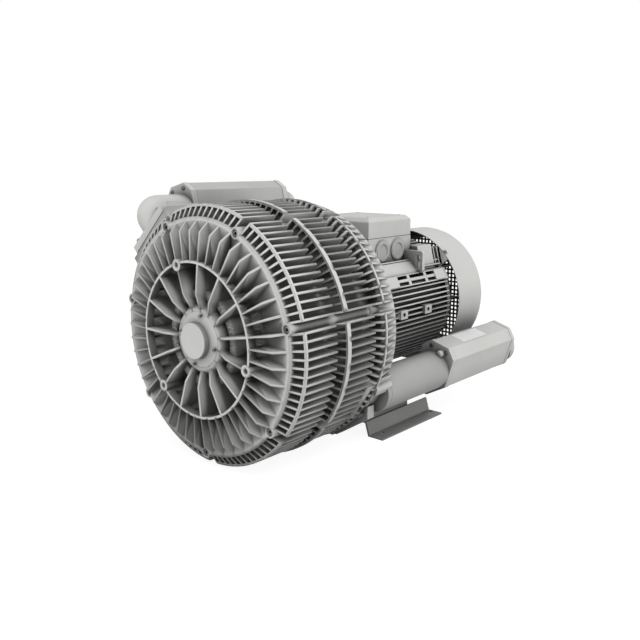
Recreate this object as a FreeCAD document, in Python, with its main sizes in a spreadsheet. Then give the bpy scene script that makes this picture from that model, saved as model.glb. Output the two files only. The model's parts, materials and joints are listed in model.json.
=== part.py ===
import FreeCAD, Part

# Side channel blower: two stages, driven directly by a flanged motor, two silencers.
# Millimetres. The shaft runs along Y, impeller end towards -Y, motor towards +Y.
# X is to the right seen from the impeller end and Z is up.
# The origin is the middle of the foot bolt pattern, on the underside of the feet.
# A "station" is a distance behind the front ring of the cover, along the shaft.
import os
import re
import Sketcher

Vector = FreeCAD.Vector
Rotation = FreeCAD.Rotation
Placement = FreeCAD.Placement
ALONG_SHAFT = Rotation(Vector(1, 0, 0), -90)
TO_THE_RIGHT = Rotation(Vector(0, 1, 0), 90)
ABOUT_SHAFT = Vector(0, 1, 0)

SIZES = {
    # stance
    "shaft_height": 264,
    "foot_middle_station": 501.5,
    # gaps between pieces
    "fit_gap": 0.02,
    "seal_gap": 0.06,
    "running_gap": 0.5,
    # front cover
    "ring_radius": 152.5,
    "ring_wall": 5,
    "ring_depth": 17,
    "hub_radius": 60.2,
    "hub_station": 12.6,
    "hub_cone_radius": 68,
    "hub_cone_station": 21.5,
    "groove_radius": 78,
    "groove_station": 34,
    "inner_rim_radius": 95,
    "recess_radius": 145,
    "recess_station": 58,
    "cone_station": 42,
    "skin": 8,
    "rim_radius": 232,
    "rim_wide": 8,
    "rim_station": 20,
    "rim_depth": 12,
    "rib_kink_radius": 208,
    "rib_sweep": 1.25,
    "rib_count": 45,
    "spoke_thick": 4.5,
    "spoke_count": 15,
    "spoke_phase": 11.12,
    "spoke_kink_radius": 91,
    "puller_boss_radius": 11.5,
    "puller_hole_radius": 5.1,
    "puller_hole_deep": 22,
    "puller_circle_radius": 146.7,
    "puller_phase": 107.12,
    "puller_count": 3,
    # barrel of the casing
    "chamber_radius": 210.5,
    "barrel_radius": 222,
    "fin_tip_radius": 255,
    "fin_sweep": 0.95,
    "fin_pitch": 3.6,
    "fins_per_sector": 12,
    "lug_fin_offset": 2.5,
    "bolt_count": 7,
    "bolt_phase": 12.857,
    "bolt_circle_radius": 229.6,
    "bolt_boss_radius": 11.5,
    "bolt_radius": 4,
    "bolt_head_radius": 6.5,
    "bolt_head_tall": 8,
    "bolt_socket_radius": 3.4,
    "bolt_clearance": 0.5,
    "bolt_deep": 24,
    "band_height": 5,
    "band_wide": 5,
    "front_band_station": 37,
    "first_joint_station": 124,
    "middle_band_station": 144,
    "middle_band_wide": 10,
    "second_joint_station": 235.5,
    "rear_band_station": 262,
    "fin_end_gap": 4,
    "fin_ramp": 16,
    "rear_flange_radius": 245,
    "rear_flange_wall": 8,
    "rear_flange_station": 310,
    # side channels and impellers
    "channel_inner_radius": 150,
    "channel_outer_radius": 208,
    "channel_corner": 8,
    "channel_depth": 25,
    "land_wide": 15,
    "impeller_wide": 48,
    "impeller_radius": 209.5,
    "vane_count": 48,
    "vane_sweep": 1,
    "vane_rim_wall": 5,
    "impeller_web": 6,
    "impeller_hub_radius": 36,
    # shaft line
    "shaft_radius": 21,
    "front_journal_radius": 15,
    "front_journal_end_station": 56,
    "front_bearing_radius": 31,
    "front_bearing_wide": 16,
    "front_bearing_station": 20,
    "bearing_ring_wall": 5,
    "bearing_shield_inset": 1,
    "front_seal_radius": 24,
    "front_seal_wide": 12,
    "nut_radius": 34,
    "nut_pocket_radius": 38,
    "nut_wide": 13,
    "spacer_radius": 30,
    "rear_seal_radius": 42,
    "rear_seal_wide": 10,
    "seal_lip_radius": 32,
    "key_wide": 12,
    "key_tall": 8,
    "key_long": 36,
    # motor
    "spigot_radius": 130,
    "spigot_wall": 18,
    "adapter_station": 330,
    "drive_journal_radius": 22.5,
    "drive_bearing_radius": 50,
    "drive_bearing_wide": 25,
    "drive_bearing_station": 345,
    "tail_journal_radius": 22.4,
    "tail_bearing_radius": 42.5,
    "tail_bearing_wide": 19,
    "tail_bearing_station": 668,
    "bearing_hub_wall": 12,
    "shield_web": 14,
    "shield_end_station": 418,
    "shield_rim_radius": 138,
    "shield_waist_radius": 127,
    "frame_end_station": 664,
    "frame_bore_radius": 115,
    "frame_radius": 127,
    "motor_fin_radius": 150,
    "motor_fin_sweep": 1.25,
    "motor_fin_count": 80,
    "bare_top_angle": 84,
    "rotor_radius": 64.4,
    "rotor_shaft_radius": 27,
    "air_gap": 0.6,
    "core_station": 455,
    "core_long": 175,
    "winding_long": 26,
    "winding_wall": 34,
    "tail_shield_wide": 24,
    "fan_bore_radius": 19,
    "fan_station": 704,
    "fan_radius": 128,
    "fan_wide": 44,
    "fan_hub_radius": 34,
    "fan_plate": 4,
    "fan_blade_thick": 4,
    "fan_blade_count": 9,
    "cowl_radius": 165.5,
    "cowl_wall": 2,
    "cowl_station": 681,
    "cowl_round": 24,
    "cowl_end_station": 803,
    "cowl_lug_angle": 14,
    "cowl_lug_count": 4,
    "grille_radius": 138,
    "grille_pitch": 10.5,
    "grille_count": 26,
    "grille_wire": 2.4,
    "grille_wire_wide": 4.4,
    "rail_radius": 148,
    "rail_thick": 6,
    "rail_wide": 28,
    "rail_angle": 27.75,
    "rail_station": 421,
    "rail_window_long": 56,
    "rail_window_wide": 8,
    "rail_window_pitch": 66,
    "rail_window_count": 3,
    "rail_window_station": 448,
    "rail_window_angle": 2.7,
    "pad_lug_reach": 156,
    "pad_lug_long": 26,
    "pad_lug_tall": 20,
    "pad_lug_station": 466,
    "pad_lug_pitch": 95,
    # terminal box
    "box_half_wide": 82,
    "box_station": 428,
    "box_long": 160,
    "box_skirt_level": 105,
    "box_floor_level": 132,
    "box_joint_level": 164,
    "box_gasket": 2,
    "box_top_level": 211,
    "box_wall": 4,
    "lid_bevel": 9,
    "saddle_half_wide": 60,
    "saddle_long": 120,
    "entry_radius": 18,
    "entry_pad_radius": 25,
    "entry_pad_thick": 3,
    "plug_head_radius": 22,
    "plug_head_thick": 6,
    "entry_level": 134,
    "entry_station": 477,
    "entry_pitch": 58,
    "lid_screw_inset": 20,
    "small_screw_radius": 4,
    "small_screw_tall": 3,
    "board_half_wide": 35,
    "board_long": 64,
    "board_tall": 12,
    "stud_radius": 3,
    "stud_tall": 14,
    "stud_pitch": 24,
    # silencers
    "silencer_wide": 88,
    "silencer_tall": 130,
    "silencer_top_cut": 21,
    "silencer_low_cut": 40,
    "silencer_wall": 4,
    "silencer_gap": 1.5,
    "silencer_box_long": 261,
    "silencer_cap_thick": 14,
    "collar_radius": 43,
    "collar_long": 26,
    "port_radius": 36.1,
    "pipe_radius": 43.5,
    "pipe_bore_radius": 37.5,
    "cap_screw_x": 20,
    "cap_screw_top": 53,
    "cap_screw_low": 55,
    "right_tilt": 17,
    "right_x": 194.4,
    "right_z": 130,
    "right_station": 525,
    "left_tilt": 14.5,
    "left_station": 150,
    "left_reach": 304.9,
    "port_angle": 133.8,
    "port_block_face": 262,
    "port_block_wide": 162,
    "port_block_station": 42,
    "port_block_long": 78,
    "port_flange_long": 98,
    "port_station": 86,
    "port_gasket": 2,
    "elbow_flange_thick": 15,
    "elbow_flange_wide": 132,
    "elbow_screw_radius": 6,
    "elbow_screw_tall": 6,
    "elbow_screw_station": 36,
    "elbow_screw_side": 48,
    "duct_wide": 56,
    "duct_long": 52,
    "chest_wide": 96,
    "chest_radius": 48,
    # feet and legs
    "foot_station": 372,
    "foot_long": 237,
    "foot_bend_x": 131,
    "foot_outer_x": 171,
    "foot_height": 33,
    "foot_lean": 9,
    "foot_plate": 4,
    "foot_top_x": 88,
    "foot_top_long": 162,
    "foot_hole_radius": 5.5,
    "foot_hole_x": 146,
    "foot_hole_pitch": 195,
    "foot_screw_radius": 5,
    "foot_screw_head_radius": 8,
    "foot_screw_head_tall": 6,
    "foot_screw_pitch": 110,
    "leg_station": 270,
    "leg_thick": 21,
    "leg_outer_x": 208,
    "leg_top_level": 153,
    "leg_low_level": 179,
    "rail_beam_tall": 16,
}
NAMES = re.compile(r"\b(" + "|".join(SIZES) + r")\b")

doc = FreeCAD.newDocument("SideChannelBlower")
dims = doc.addObject("Spreadsheet::Sheet", "dims")
for row, (name, size) in enumerate(SIZES.items(), 1):
    dims.set("A%d" % row, name)
    dims.set("B%d" % row, str(size))
    dims.setAlias("B%d" % row, name)
doc.recompute()

nodes = []


def bound(text):
    """Turn the size names in a formula into references to the sheet."""
    return NAMES.sub(r"dims.\1", str(text))


def bind(thing, path, text):
    """Bind one property to a formula over the named sizes."""
    thing.setExpression(path, bound(text))


def new_body(label, x="0", station="0", z="0", turn="0"):
    """A body on the shaft axis; turn is the angle about the shaft, clockwise from the front."""
    body = doc.addObject("PartDesign::Body", label)
    body.Placement = Placement(Vector(), Rotation(ABOUT_SHAFT, 1))
    bind(body, "Placement.Rotation.Angle", turn)
    bind(body, "Placement.Base.x", x)
    bind(body, "Placement.Base.y", "(%s) - foot_middle_station" % station)
    bind(body, "Placement.Base.z", "shaft_height + (%s)" % z)
    nodes.append(body)
    return body


def feature_of(body, kind, name):
    """A new feature of a body, named after it."""
    feature = body.newObject(kind, "%s_%s" % (body.Name, name))
    feature.Refine = False
    return feature


def origin_part(body, role):
    """The plane or axis of a body's own origin."""
    return [item for item in body.Origin.OriginFeatures if item.Role == role][0]


def sketch(body, name, plane, loops, circles=(), turn="0", out="0"):
    """A fully bound sketch of polygons and circles on one of the body's own planes."""
    drawing = body.newObject("Sketcher::SketchObject", "%s_%s" % (body.Name, name))
    drawing.AttachmentSupport = [(origin_part(body, plane), "")]
    drawing.MapMode = "FlatFace"
    if turn != "0":
        drawing.AttachmentOffset = Placement(Vector(), Rotation(ABOUT_SHAFT, 1))
        bind(drawing, "AttachmentOffset.Rotation.Angle", "-(%s)" % turn)
    if out != "0":
        bind(drawing, "AttachmentOffset.Base.z", out)
    for loop in loops:
        corners = [tuple(drawing.evalExpression(bound(v)) for v in point) for point in loop]
        corners = [Vector(float(a), float(b), 0) for a, b in corners]
        first = drawing.GeometryCount
        total = len(loop)
        for i in range(total):
            drawing.addGeometry(Part.LineSegment(corners[i], corners[(i + 1) % total]))
        for i in range(total):
            joined = (first + i, 2, first + (i + 1) % total, 1)
            drawing.addConstraint(Sketcher.Constraint("Coincident", *joined))
        for i, point in enumerate(loop):
            for kind, place, text in (("DistanceX", corners[i].x, point[0]),
                                      ("DistanceY", corners[i].y, point[1])):
                rule = Sketcher.Constraint(kind, -1, 1, first + i, 1, place)
                bind(drawing, "Constraints[%d]" % drawing.addConstraint(rule), text)
    for circle in circles:
        x, y, radius = [float(drawing.evalExpression(bound(v))) for v in circle]
        index = drawing.addGeometry(Part.Circle(Vector(x, y, 0), Vector(0, 0, 1), radius))
        rules = (Sketcher.Constraint("DistanceX", -1, 1, index, 3, x),
                 Sketcher.Constraint("DistanceY", -1, 1, index, 3, y),
                 Sketcher.Constraint("Radius", index, radius))
        for rule, text in zip(rules, circle):
            bind(drawing, "Constraints[%d]" % drawing.addConstraint(rule), text)
    return drawing


def revolve(body, name, points, sweep="360", turn="0", cut=False):
    """Turn a section of (radius, station) points about the shaft."""
    kind = "PartDesign::Groove" if cut else "PartDesign::Revolution"
    feature = feature_of(body, kind, name)
    feature.Profile = sketch(body, name + "_section", "XY_Plane", [points], turn=turn)
    feature.ReferenceAxis = (feature.Profile[0], ["V_Axis"])
    feature.Midplane = sweep != "360"
    bind(feature, "Angle", sweep)
    return feature


def plate(body, name, points, thick, turn="0"):
    """A flat plate of (radius, station) points standing radially on the shaft axis."""
    feature = feature_of(body, "PartDesign::Pad", name)
    feature.Profile = sketch(body, name + "_outline", "XY_Plane", [points], turn=turn)
    feature.Midplane = True
    bind(feature, "Length", thick)
    return feature


def along(body, name, loops, circles, start, length, cut=False):
    """Extrude a cross-section along the shaft from a station."""
    kind = "PartDesign::Pocket" if cut else "PartDesign::Pad"
    feature = feature_of(body, kind, name)
    feature.Profile = sketch(body, name + "_outline", "XZ_Plane", loops, circles,
                             out="-(%s)" % start)
    feature.Reversed = not cut
    bind(feature, "Length", length)
    return feature


def rod(body, name, radius, start, length, x="0", z="0", cut=False, to_right=False):
    """A cylinder along the shaft from a station, or along X from x."""
    kind = "PartDesign::SubtractiveCylinder" if cut else "PartDesign::AdditiveCylinder"
    feature = feature_of(body, kind, name)
    feature.Placement = Placement(Vector(), TO_THE_RIGHT if to_right else ALONG_SHAFT)
    bind(feature, "Radius", radius)
    bind(feature, "Height", length)
    bind(feature, "Placement.Base.x", x)
    bind(feature, "Placement.Base.y", start)
    bind(feature, "Placement.Base.z", z)
    return feature


def upright(body, name, radius, x, station, low, tall, cut=False):
    """A vertical cylinder."""
    kind = "PartDesign::SubtractiveCylinder" if cut else "PartDesign::AdditiveCylinder"
    feature = feature_of(body, kind, name)
    bind(feature, "Radius", radius)
    bind(feature, "Height", tall)
    bind(feature, "Placement.Base.x", x)
    bind(feature, "Placement.Base.y", station)
    bind(feature, "Placement.Base.z", low)
    return feature


def block(body, name, x, station, low, wide, length, tall, cut=False):
    """A block from its lowest corner."""
    kind = "PartDesign::SubtractiveBox" if cut else "PartDesign::AdditiveBox"
    feature = feature_of(body, kind, name)
    bind(feature, "Length", wide)
    bind(feature, "Width", length)
    bind(feature, "Height", tall)
    bind(feature, "Placement.Base.x", x)
    bind(feature, "Placement.Base.y", station)
    bind(feature, "Placement.Base.z", low)
    return feature


def radial(body, name, radius, inner, length, station, angle, cut=False):
    """A cylinder pointing straight out from the shaft axis at an angle."""
    kind = "PartDesign::SubtractiveCylinder" if cut else "PartDesign::AdditiveCylinder"
    feature = feature_of(body, kind, name)
    feature.Placement = Placement(Vector(), Rotation(ABOUT_SHAFT, 1))
    bind(feature, "Placement.Rotation.Angle", "90 - (%s)" % angle)
    bind(feature, "Radius", radius)
    bind(feature, "Height", length)
    bind(feature, "Placement.Base.x", "(%s) * cos(%s)" % (inner, angle))
    bind(feature, "Placement.Base.y", station)
    bind(feature, "Placement.Base.z", "(%s) * sin(%s)" % (inner, angle))
    return feature


def trench(body, name, points, wide, turn="0"):
    """Cut a slot of (radius, station) points, lying radially on the shaft axis."""
    feature = feature_of(body, "PartDesign::Pocket", name)
    feature.Profile = sketch(body, name + "_outline", "XY_Plane", [points], turn=turn)
    feature.Midplane = True
    bind(feature, "Length", wide)
    return feature


def around(body, name, original, count):
    """Repeat the newest feature evenly about the shaft."""
    pattern = feature_of(body, "PartDesign::PolarPattern", name)
    pattern.Originals = [original]
    pattern.Axis = (origin_part(body, "Y_Axis"), [""])
    pattern.Angle = 360
    bind(pattern, "Occurrences", count)
    body.Tip = pattern


def in_sectors(body, name, original):
    """Repeat a fin over one sector between two bolts, then over every sector."""
    grid = feature_of(body, "PartDesign::MultiTransform", name)
    grid.Originals = [original]
    fan_out = doc.addObject("PartDesign::PolarPattern", "%s_%s_run" % (body.Name, name))
    fan_out.Axis = (origin_part(body, "Y_Axis"), [""])
    bind(fan_out, "Angle", "fin_pitch * (fins_per_sector - 1)")
    bind(fan_out, "Occurrences", "fins_per_sector")
    sectors = doc.addObject("PartDesign::PolarPattern", "%s_%s_sectors" % (body.Name, name))
    sectors.Axis = (origin_part(body, "Y_Axis"), [""])
    sectors.Angle = 360
    bind(sectors, "Occurrences", "bolt_count")
    grid.Transformations = [fan_out, sectors]
    doc.recompute()
    body.Tip = grid


def in_line(body, name, original, axis, pitch, count):
    """Repeat the newest feature along one of the body's axes."""
    pattern = feature_of(body, "PartDesign::LinearPattern", name)
    pattern.Originals = [original]
    pattern.Direction = (origin_part(body, axis), [""])
    bind(pattern, "Length", "(%s) * ((%s) - 1)" % (pitch, count))
    bind(pattern, "Occurrences", count)
    body.Tip = pattern


def box_points(left, right, low, top):
    """The four corners of a rectangle."""
    return [(left, low), (right, low), (right, top), (left, top)]


def section(inset="0"):
    """The eight corners of the silencer's cross-section, set in evenly."""
    side = "(silencer_wide / 2 - (%s))" % inset
    end = "(silencer_tall / 2 - (%s))" % inset
    top_cut = "(silencer_top_cut - (%s) * 0.586)" % inset
    low_cut = "(silencer_low_cut - (%s) * 0.586)" % inset
    return [("-%s + %s" % (side, low_cut), "-" + end), ("%s - %s" % (side, low_cut), "-" + end),
            (side, "-%s + %s" % (end, low_cut)), (side, "%s - %s" % (end, top_cut)),
            ("%s - %s" % (side, top_cut), end), ("-%s + %s" % (side, top_cut), end),
            ("-" + side, "%s - %s" % (end, top_cut)), ("-" + side, "-%s + %s" % (end, low_cut))]


def beside_left_silencer():
    """The left silencer's outline with its clearance, on the shaft axis."""
    return [("left_reach * cos(port_angle) + (%s) * cos(left_tilt) - (%s) * sin(left_tilt)" % point,
             "left_reach * sin(port_angle) + (%s) * sin(left_tilt) + (%s) * cos(left_tilt)" % point)
            for point in section("-silencer_gap")]


BOLT_X = "bolt_circle_radius * cos(bolt_phase)"
BOLT_Z = "bolt_circle_radius * sin(bolt_phase)"
SECTOR_MIDDLE = "bolt_phase + 180 / bolt_count"
FIRST_FIN = SECTOR_MIDDLE + " + fin_pitch * (fins_per_sector - 1) / 2"
FIN_ROOT = "barrel_radius - 4"
LAND_RADIUS = "channel_inner_radius - land_wide"
FIRST_SIDE = "first_joint_station - running_gap - impeller_wide"
SECOND_SIDE = "second_joint_station - running_gap - impeller_wide"
FIRST_LAND = FIRST_SIDE + " - running_gap"
SECOND_LAND = SECOND_SIDE + " - running_gap"


def finned(label, shell, outline, band, beside_silencer=True):
    """Join a casing with its fins, the fins beside its bolts and the band at their tips."""
    fins = new_body(label + "_fins")
    nodes.remove(fins)
    nodes.remove(shell)
    fin = revolve(fins, "fin", outline, sweep="fin_sweep", turn=FIRST_FIN)
    in_sectors(fins, "run", fin)
    for side, sign in (("low", "-"), ("high", "+")):
        fin = revolve(fins, "%s_lug_fin" % side, outline, sweep="fin_sweep",
                      turn="bolt_phase %s lug_fin_offset" % sign)
        around(fins, "%s_lug_fins" % side, fin, "bolt_count")
    start, wide, tip = band
    ring = revolve(fins, "band", box_points("%s - band_height" % tip, tip, start,
                                            "%s + %s" % (start, wide)),
                   turn=SECTOR_MIDDLE, sweep="360 / bolt_count - 2 * lug_fin_offset")
    around(fins, "band_parts", ring, "bolt_count")
    if beside_silencer:
        along(fins, "silencer_room", [beside_left_silencer()], [],
              "left_station - small_screw_tall - silencer_gap",
              "2 * silencer_cap_thick + silencer_box_long", cut=True)
    casing = doc.addObject("Part::MultiFuse", label)
    casing.Shapes = [shell, fins]
    casing.Refine = False
    nodes.append(casing)
    return casing


# Front casing: cover, first chamber wall and the block with the left port
front = new_body("front_casing_shell")
revolve(front, "turned", [
    ("front_bearing_radius", "hub_station"),
    ("hub_radius", "hub_station"),
    ("hub_cone_radius", "hub_cone_station"),
    ("hub_cone_radius", "groove_station"),
    ("groove_radius", "groove_station"),
    ("groove_radius", "hub_cone_station"),
    ("inner_rim_radius", "hub_cone_station"),
    ("inner_rim_radius", "recess_station"),
    ("recess_radius", "recess_station"),
    ("recess_radius", "cone_station"),
    ("rim_radius - rim_wide", "rim_station"),
    ("rim_radius", "rim_station"),
    ("rim_radius", "rim_station + rim_depth"),
    ("barrel_radius", "rim_station + rim_depth + skin"),
    ("barrel_radius", "first_joint_station"),
    ("chamber_radius", "first_joint_station"),
    ("chamber_radius", FIRST_LAND),
    ("channel_outer_radius", FIRST_LAND),
    ("channel_outer_radius", FIRST_LAND + " - channel_depth + channel_corner"),
    ("channel_outer_radius - channel_corner", FIRST_LAND + " - channel_depth"),
    ("channel_inner_radius + channel_corner", FIRST_LAND + " - channel_depth"),
    ("channel_inner_radius", FIRST_LAND + " - channel_depth + channel_corner"),
    ("channel_inner_radius", FIRST_LAND),
    (LAND_RADIUS, FIRST_LAND),
    (LAND_RADIUS, "recess_station + skin"),
    ("nut_pocket_radius", "recess_station + skin"),
    ("nut_pocket_radius", "front_bearing_station + front_bearing_wide + front_seal_wide + 4"),
    ("front_seal_radius", "front_bearing_station + front_bearing_wide + front_seal_wide + 4"),
    ("front_seal_radius", "front_bearing_station + front_bearing_wide"),
    ("front_bearing_radius", "front_bearing_station + front_bearing_wide"),
])
boss = rod(front, "bolt_boss", "bolt_boss_radius", "rim_station",
           "first_joint_station - rim_station", BOLT_X, BOLT_Z)
around(front, "bolt_bosses", boss, "bolt_count")
plate(front, "port_block", box_points(
    "barrel_radius - 8", "port_block_face", "port_block_station",
    "port_block_station + port_block_long"), "port_block_wide", turn="port_angle")
trench(front, "port_duct", box_points(
    "channel_inner_radius + 40", "port_block_face - 16", FIRST_LAND + " - channel_depth + 2",
    "port_block_station + port_block_long - skin"), "duct_wide", turn="port_angle")
trench(front, "port_mouth", box_points(
    "port_block_face - 17", "port_block_face + 1", "port_station - duct_long / 2",
    "port_station + duct_long / 2"), "duct_wide", turn="port_angle")
hole = rod(front, "bolt_hole", "bolt_radius + bolt_clearance", "0", "first_joint_station",
           BOLT_X, BOLT_Z, cut=True)
around(front, "bolt_holes", hole, "bolt_count")
PULLER_X = "puller_circle_radius * cos(puller_phase)"
PULLER_Z = "puller_circle_radius * sin(puller_phase)"
boss = rod(front, "puller_boss", "puller_boss_radius", "-1", "cone_station + 3",
           PULLER_X, PULLER_Z)
around(front, "puller_bosses", boss, "puller_count")
revolve(front, "ring", box_points("ring_radius - ring_wall", "ring_radius", "0", "ring_depth"))
rib = revolve(front, "rib", [
    ("ring_radius - ring_wall + 1", "0"),
    ("rib_kink_radius", "2"),
    ("rim_radius - rim_wide + 1", "rim_station"),
    ("rim_radius - rim_wide + 1", "rim_station + 5"),
    ("ring_radius - ring_wall + 1", "cone_station + 5"),
], sweep="rib_sweep", turn="spoke_phase")
around(front, "ribs", rib, "rib_count")
spoke = plate(front, "spoke", [
    ("hub_radius", "hub_station - 1.4"),
    ("spoke_kink_radius", "0"),
    ("ring_radius - ring_wall + 1", "0"),
    ("ring_radius - ring_wall + 1", "recess_station + 3"),
    ("hub_radius", "recess_station + 3"),
], "spoke_thick", turn="spoke_phase")
around(front, "spokes", spoke, "spoke_count")
hole = rod(front, "puller_hole", "puller_hole_radius", "-1", "puller_hole_deep",
           PULLER_X, PULLER_Z, cut=True)
around(front, "puller_holes", hole, "puller_count")
well = rod(front, "bolt_well", "bolt_head_radius + 1", "0", "rim_station + bolt_head_tall + 2",
           BOLT_X, BOLT_Z, cut=True)
around(front, "bolt_wells", well, "bolt_count")
finned("front_casing", front, [
    (FIN_ROOT, "rim_station + 8"),
    ("rim_radius - 1", "rim_station + 4"),
    ("fin_tip_radius", "front_band_station + 2"),
    ("fin_tip_radius", "first_joint_station - fin_end_gap"),
    (FIN_ROOT, "first_joint_station - fin_end_gap"),
], ("front_band_station", "band_wide", "fin_tip_radius"), beside_silencer=False)

# Middle casing: back of the first chamber and front of the second
middle = new_body("middle_casing_shell")
revolve(middle, "turned", [
    ("spacer_radius + running_gap", "first_joint_station + 10"),
    (LAND_RADIUS, "first_joint_station + 10"),
    (LAND_RADIUS, "first_joint_station"),
    ("channel_inner_radius", "first_joint_station"),
    ("channel_inner_radius", "first_joint_station + channel_depth - channel_corner"),
    ("channel_inner_radius + channel_corner", "first_joint_station + channel_depth"),
    ("channel_outer_radius - channel_corner", "first_joint_station + channel_depth"),
    ("channel_outer_radius", "first_joint_station + channel_depth - channel_corner"),
    ("channel_outer_radius", "first_joint_station"),
    ("barrel_radius", "first_joint_station"),
    ("barrel_radius", "second_joint_station"),
    ("chamber_radius", "second_joint_station"),
    ("chamber_radius", SECOND_LAND),
    ("channel_outer_radius", SECOND_LAND),
    ("channel_outer_radius", SECOND_LAND + " - channel_depth + channel_corner"),
    ("channel_outer_radius - channel_corner", SECOND_LAND + " - channel_depth"),
    ("channel_inner_radius + channel_corner", SECOND_LAND + " - channel_depth"),
    ("channel_inner_radius", SECOND_LAND + " - channel_depth + channel_corner"),
    ("channel_inner_radius", SECOND_LAND),
    (LAND_RADIUS, SECOND_LAND),
    (LAND_RADIUS, SECOND_LAND + " - 10"),
    ("spacer_radius + running_gap", SECOND_LAND + " - 10"),
])
boss = rod(middle, "bolt_boss", "bolt_boss_radius", "first_joint_station",
           "second_joint_station - first_joint_station", BOLT_X, BOLT_Z)
around(middle, "bolt_bosses", boss, "bolt_count")
hole = rod(middle, "bolt_hole", "bolt_radius + bolt_clearance", "first_joint_station",
           "second_joint_station - first_joint_station", BOLT_X, BOLT_Z, cut=True)
around(middle, "bolt_holes", hole, "bolt_count")
finned("middle_casing", middle, [
    (FIN_ROOT, "first_joint_station + fin_end_gap"),
    ("barrel_radius + 3", "first_joint_station + fin_end_gap"),
    ("fin_tip_radius", "middle_band_station"),
    ("fin_tip_radius", "second_joint_station - fin_end_gap"),
    (FIN_ROOT, "second_joint_station - fin_end_gap"),
], ("middle_band_station", "middle_band_wide", "fin_tip_radius + fin_end_gap"))

# Rear casing: back of the second chamber, motor spigot, legs and the right port
rear = new_body("rear_casing_shell")
REAR_WALL = "second_joint_station + channel_depth + skin"
revolve(rear, "turned", [
    ("seal_lip_radius", "second_joint_station + 8"),
    (LAND_RADIUS, "second_joint_station + 8"),
    (LAND_RADIUS, "second_joint_station"),
    ("channel_inner_radius", "second_joint_station"),
    ("channel_inner_radius", "second_joint_station + channel_depth - channel_corner"),
    ("channel_inner_radius + channel_corner", "second_joint_station + channel_depth"),
    ("channel_outer_radius - channel_corner", "second_joint_station + channel_depth"),
    ("channel_outer_radius", "second_joint_station + channel_depth - channel_corner"),
    ("channel_outer_radius", "second_joint_station"),
    ("barrel_radius", "second_joint_station"),
    ("barrel_radius", "rear_band_station"),
    ("rear_flange_radius", "rear_band_station"),
    ("rear_flange_radius", "rear_flange_station"),
    ("rear_flange_radius - rear_flange_wall", "rear_flange_station"),
    ("rear_flange_radius - rear_flange_wall", REAR_WALL),
    ("channel_inner_radius + 10", REAR_WALL),
    ("spigot_radius", "adapter_station"),
    ("spigot_radius - spigot_wall", "adapter_station"),
    ("spigot_radius - spigot_wall", REAR_WALL),
    ("rear_seal_radius", REAR_WALL),
    ("rear_seal_radius", REAR_WALL + " - rear_seal_wide"),
    ("seal_lip_radius", REAR_WALL + " - rear_seal_wide"),
])
CHEST_REACH = "sqrt(right_x * right_x + right_z * right_z)"
CHEST_ANGLE = "-atan(right_z / right_x)"
CHEST_TOP = "fin_tip_radius - 6"
plate(rear, "chest", box_points("barrel_radius - 6", CHEST_TOP, "second_joint_station",
                                "rear_flange_station"), "chest_wide", turn=CHEST_ANGLE)
rod(rear, "port_boss", "chest_radius", "rear_band_station", "rear_flange_station + 2 - rear_band_station",
    "right_x", "-right_z")
FOOT_TOP = "foot_height - shaft_height"
leg_sides = []
for side, sign in (("right", ""), ("left", "-")):
    leg = along(rear, "%s_leg" % side, [[
        ("%sleg_outer_x" % sign, "-leg_top_level"),
        ("%sleg_outer_x" % sign, "-leg_low_level"),
        ("%s(foot_bend_x - foot_lean + foot_plate)" % sign, FOOT_TOP),
        ("%sfoot_top_x" % sign, FOOT_TOP),
        ("%sfoot_top_x" % sign, FOOT_TOP + " + 36"),
        ("%s(foot_bend_x + 20)" % sign, "-leg_top_level - 10"),
    ]], [], "leg_station", "leg_thick")
    beam = along(rear, "%s_beam" % side, [[
        ("%sfoot_top_x" % sign, FOOT_TOP),
        ("%s(foot_bend_x - foot_lean)" % sign, FOOT_TOP),
        ("%s(foot_bend_x - foot_lean)" % sign, FOOT_TOP + " + rail_beam_tall"),
        ("%sfoot_top_x" % sign, FOOT_TOP + " + rail_beam_tall"),
    ]], [], "rear_band_station", "foot_station + foot_top_long - rear_band_station")
rod(rear, "port_bore", "pipe_bore_radius", "rear_band_station - 4",
    "rear_flange_station + 6 - rear_band_station", "right_x", "-right_z", cut=True)
trench(rear, "port_duct", box_points(
    "channel_inner_radius + 40", CHEST_TOP + " - skin", "second_joint_station + 6",
    "rear_band_station"), "duct_wide", turn=CHEST_ANGLE)
boss = rod(rear, "bolt_boss", "bolt_boss_radius", "second_joint_station",
           "rear_band_station - second_joint_station", BOLT_X, BOLT_Z)
around(rear, "bolt_bosses", boss, "bolt_count")
hole = rod(rear, "bolt_hole", "bolt_radius + bolt_clearance", "second_joint_station",
           "bolt_deep", BOLT_X, BOLT_Z, cut=True)
around(rear, "bolt_holes", hole, "bolt_count")
SCREW_X = "(foot_top_x + foot_bend_x - foot_lean) / 2"
SCREW_STATION = "foot_station + 26"
for side, sign in (("right", ""), ("left", "-")):
    hole = upright(rear, "%s_foot_hole" % side, "foot_screw_radius + fit_gap", sign + SCREW_X,
                   SCREW_STATION, FOOT_TOP + " - 1", "rail_beam_tall + 2", cut=True)
    in_line(rear, "%s_foot_holes" % side, hole, "Y_Axis", "foot_screw_pitch", "2")
finned("rear_casing", rear, [
    (FIN_ROOT, "second_joint_station + fin_end_gap"),
    ("barrel_radius + 3", "second_joint_station + fin_end_gap"),
    ("fin_tip_radius", "second_joint_station + fin_end_gap + fin_ramp"),
    ("fin_tip_radius", "rear_band_station + 10"),
    ("rear_flange_radius", "rear_flange_station"),
    ("rear_flange_radius - 4", "rear_flange_station"),
    ("rear_flange_radius - 4", "rear_band_station + 2"),
    (FIN_ROOT, "rear_band_station - 2"),
], ("rear_band_station", "band_wide", "fin_tip_radius + 2"))

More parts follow.
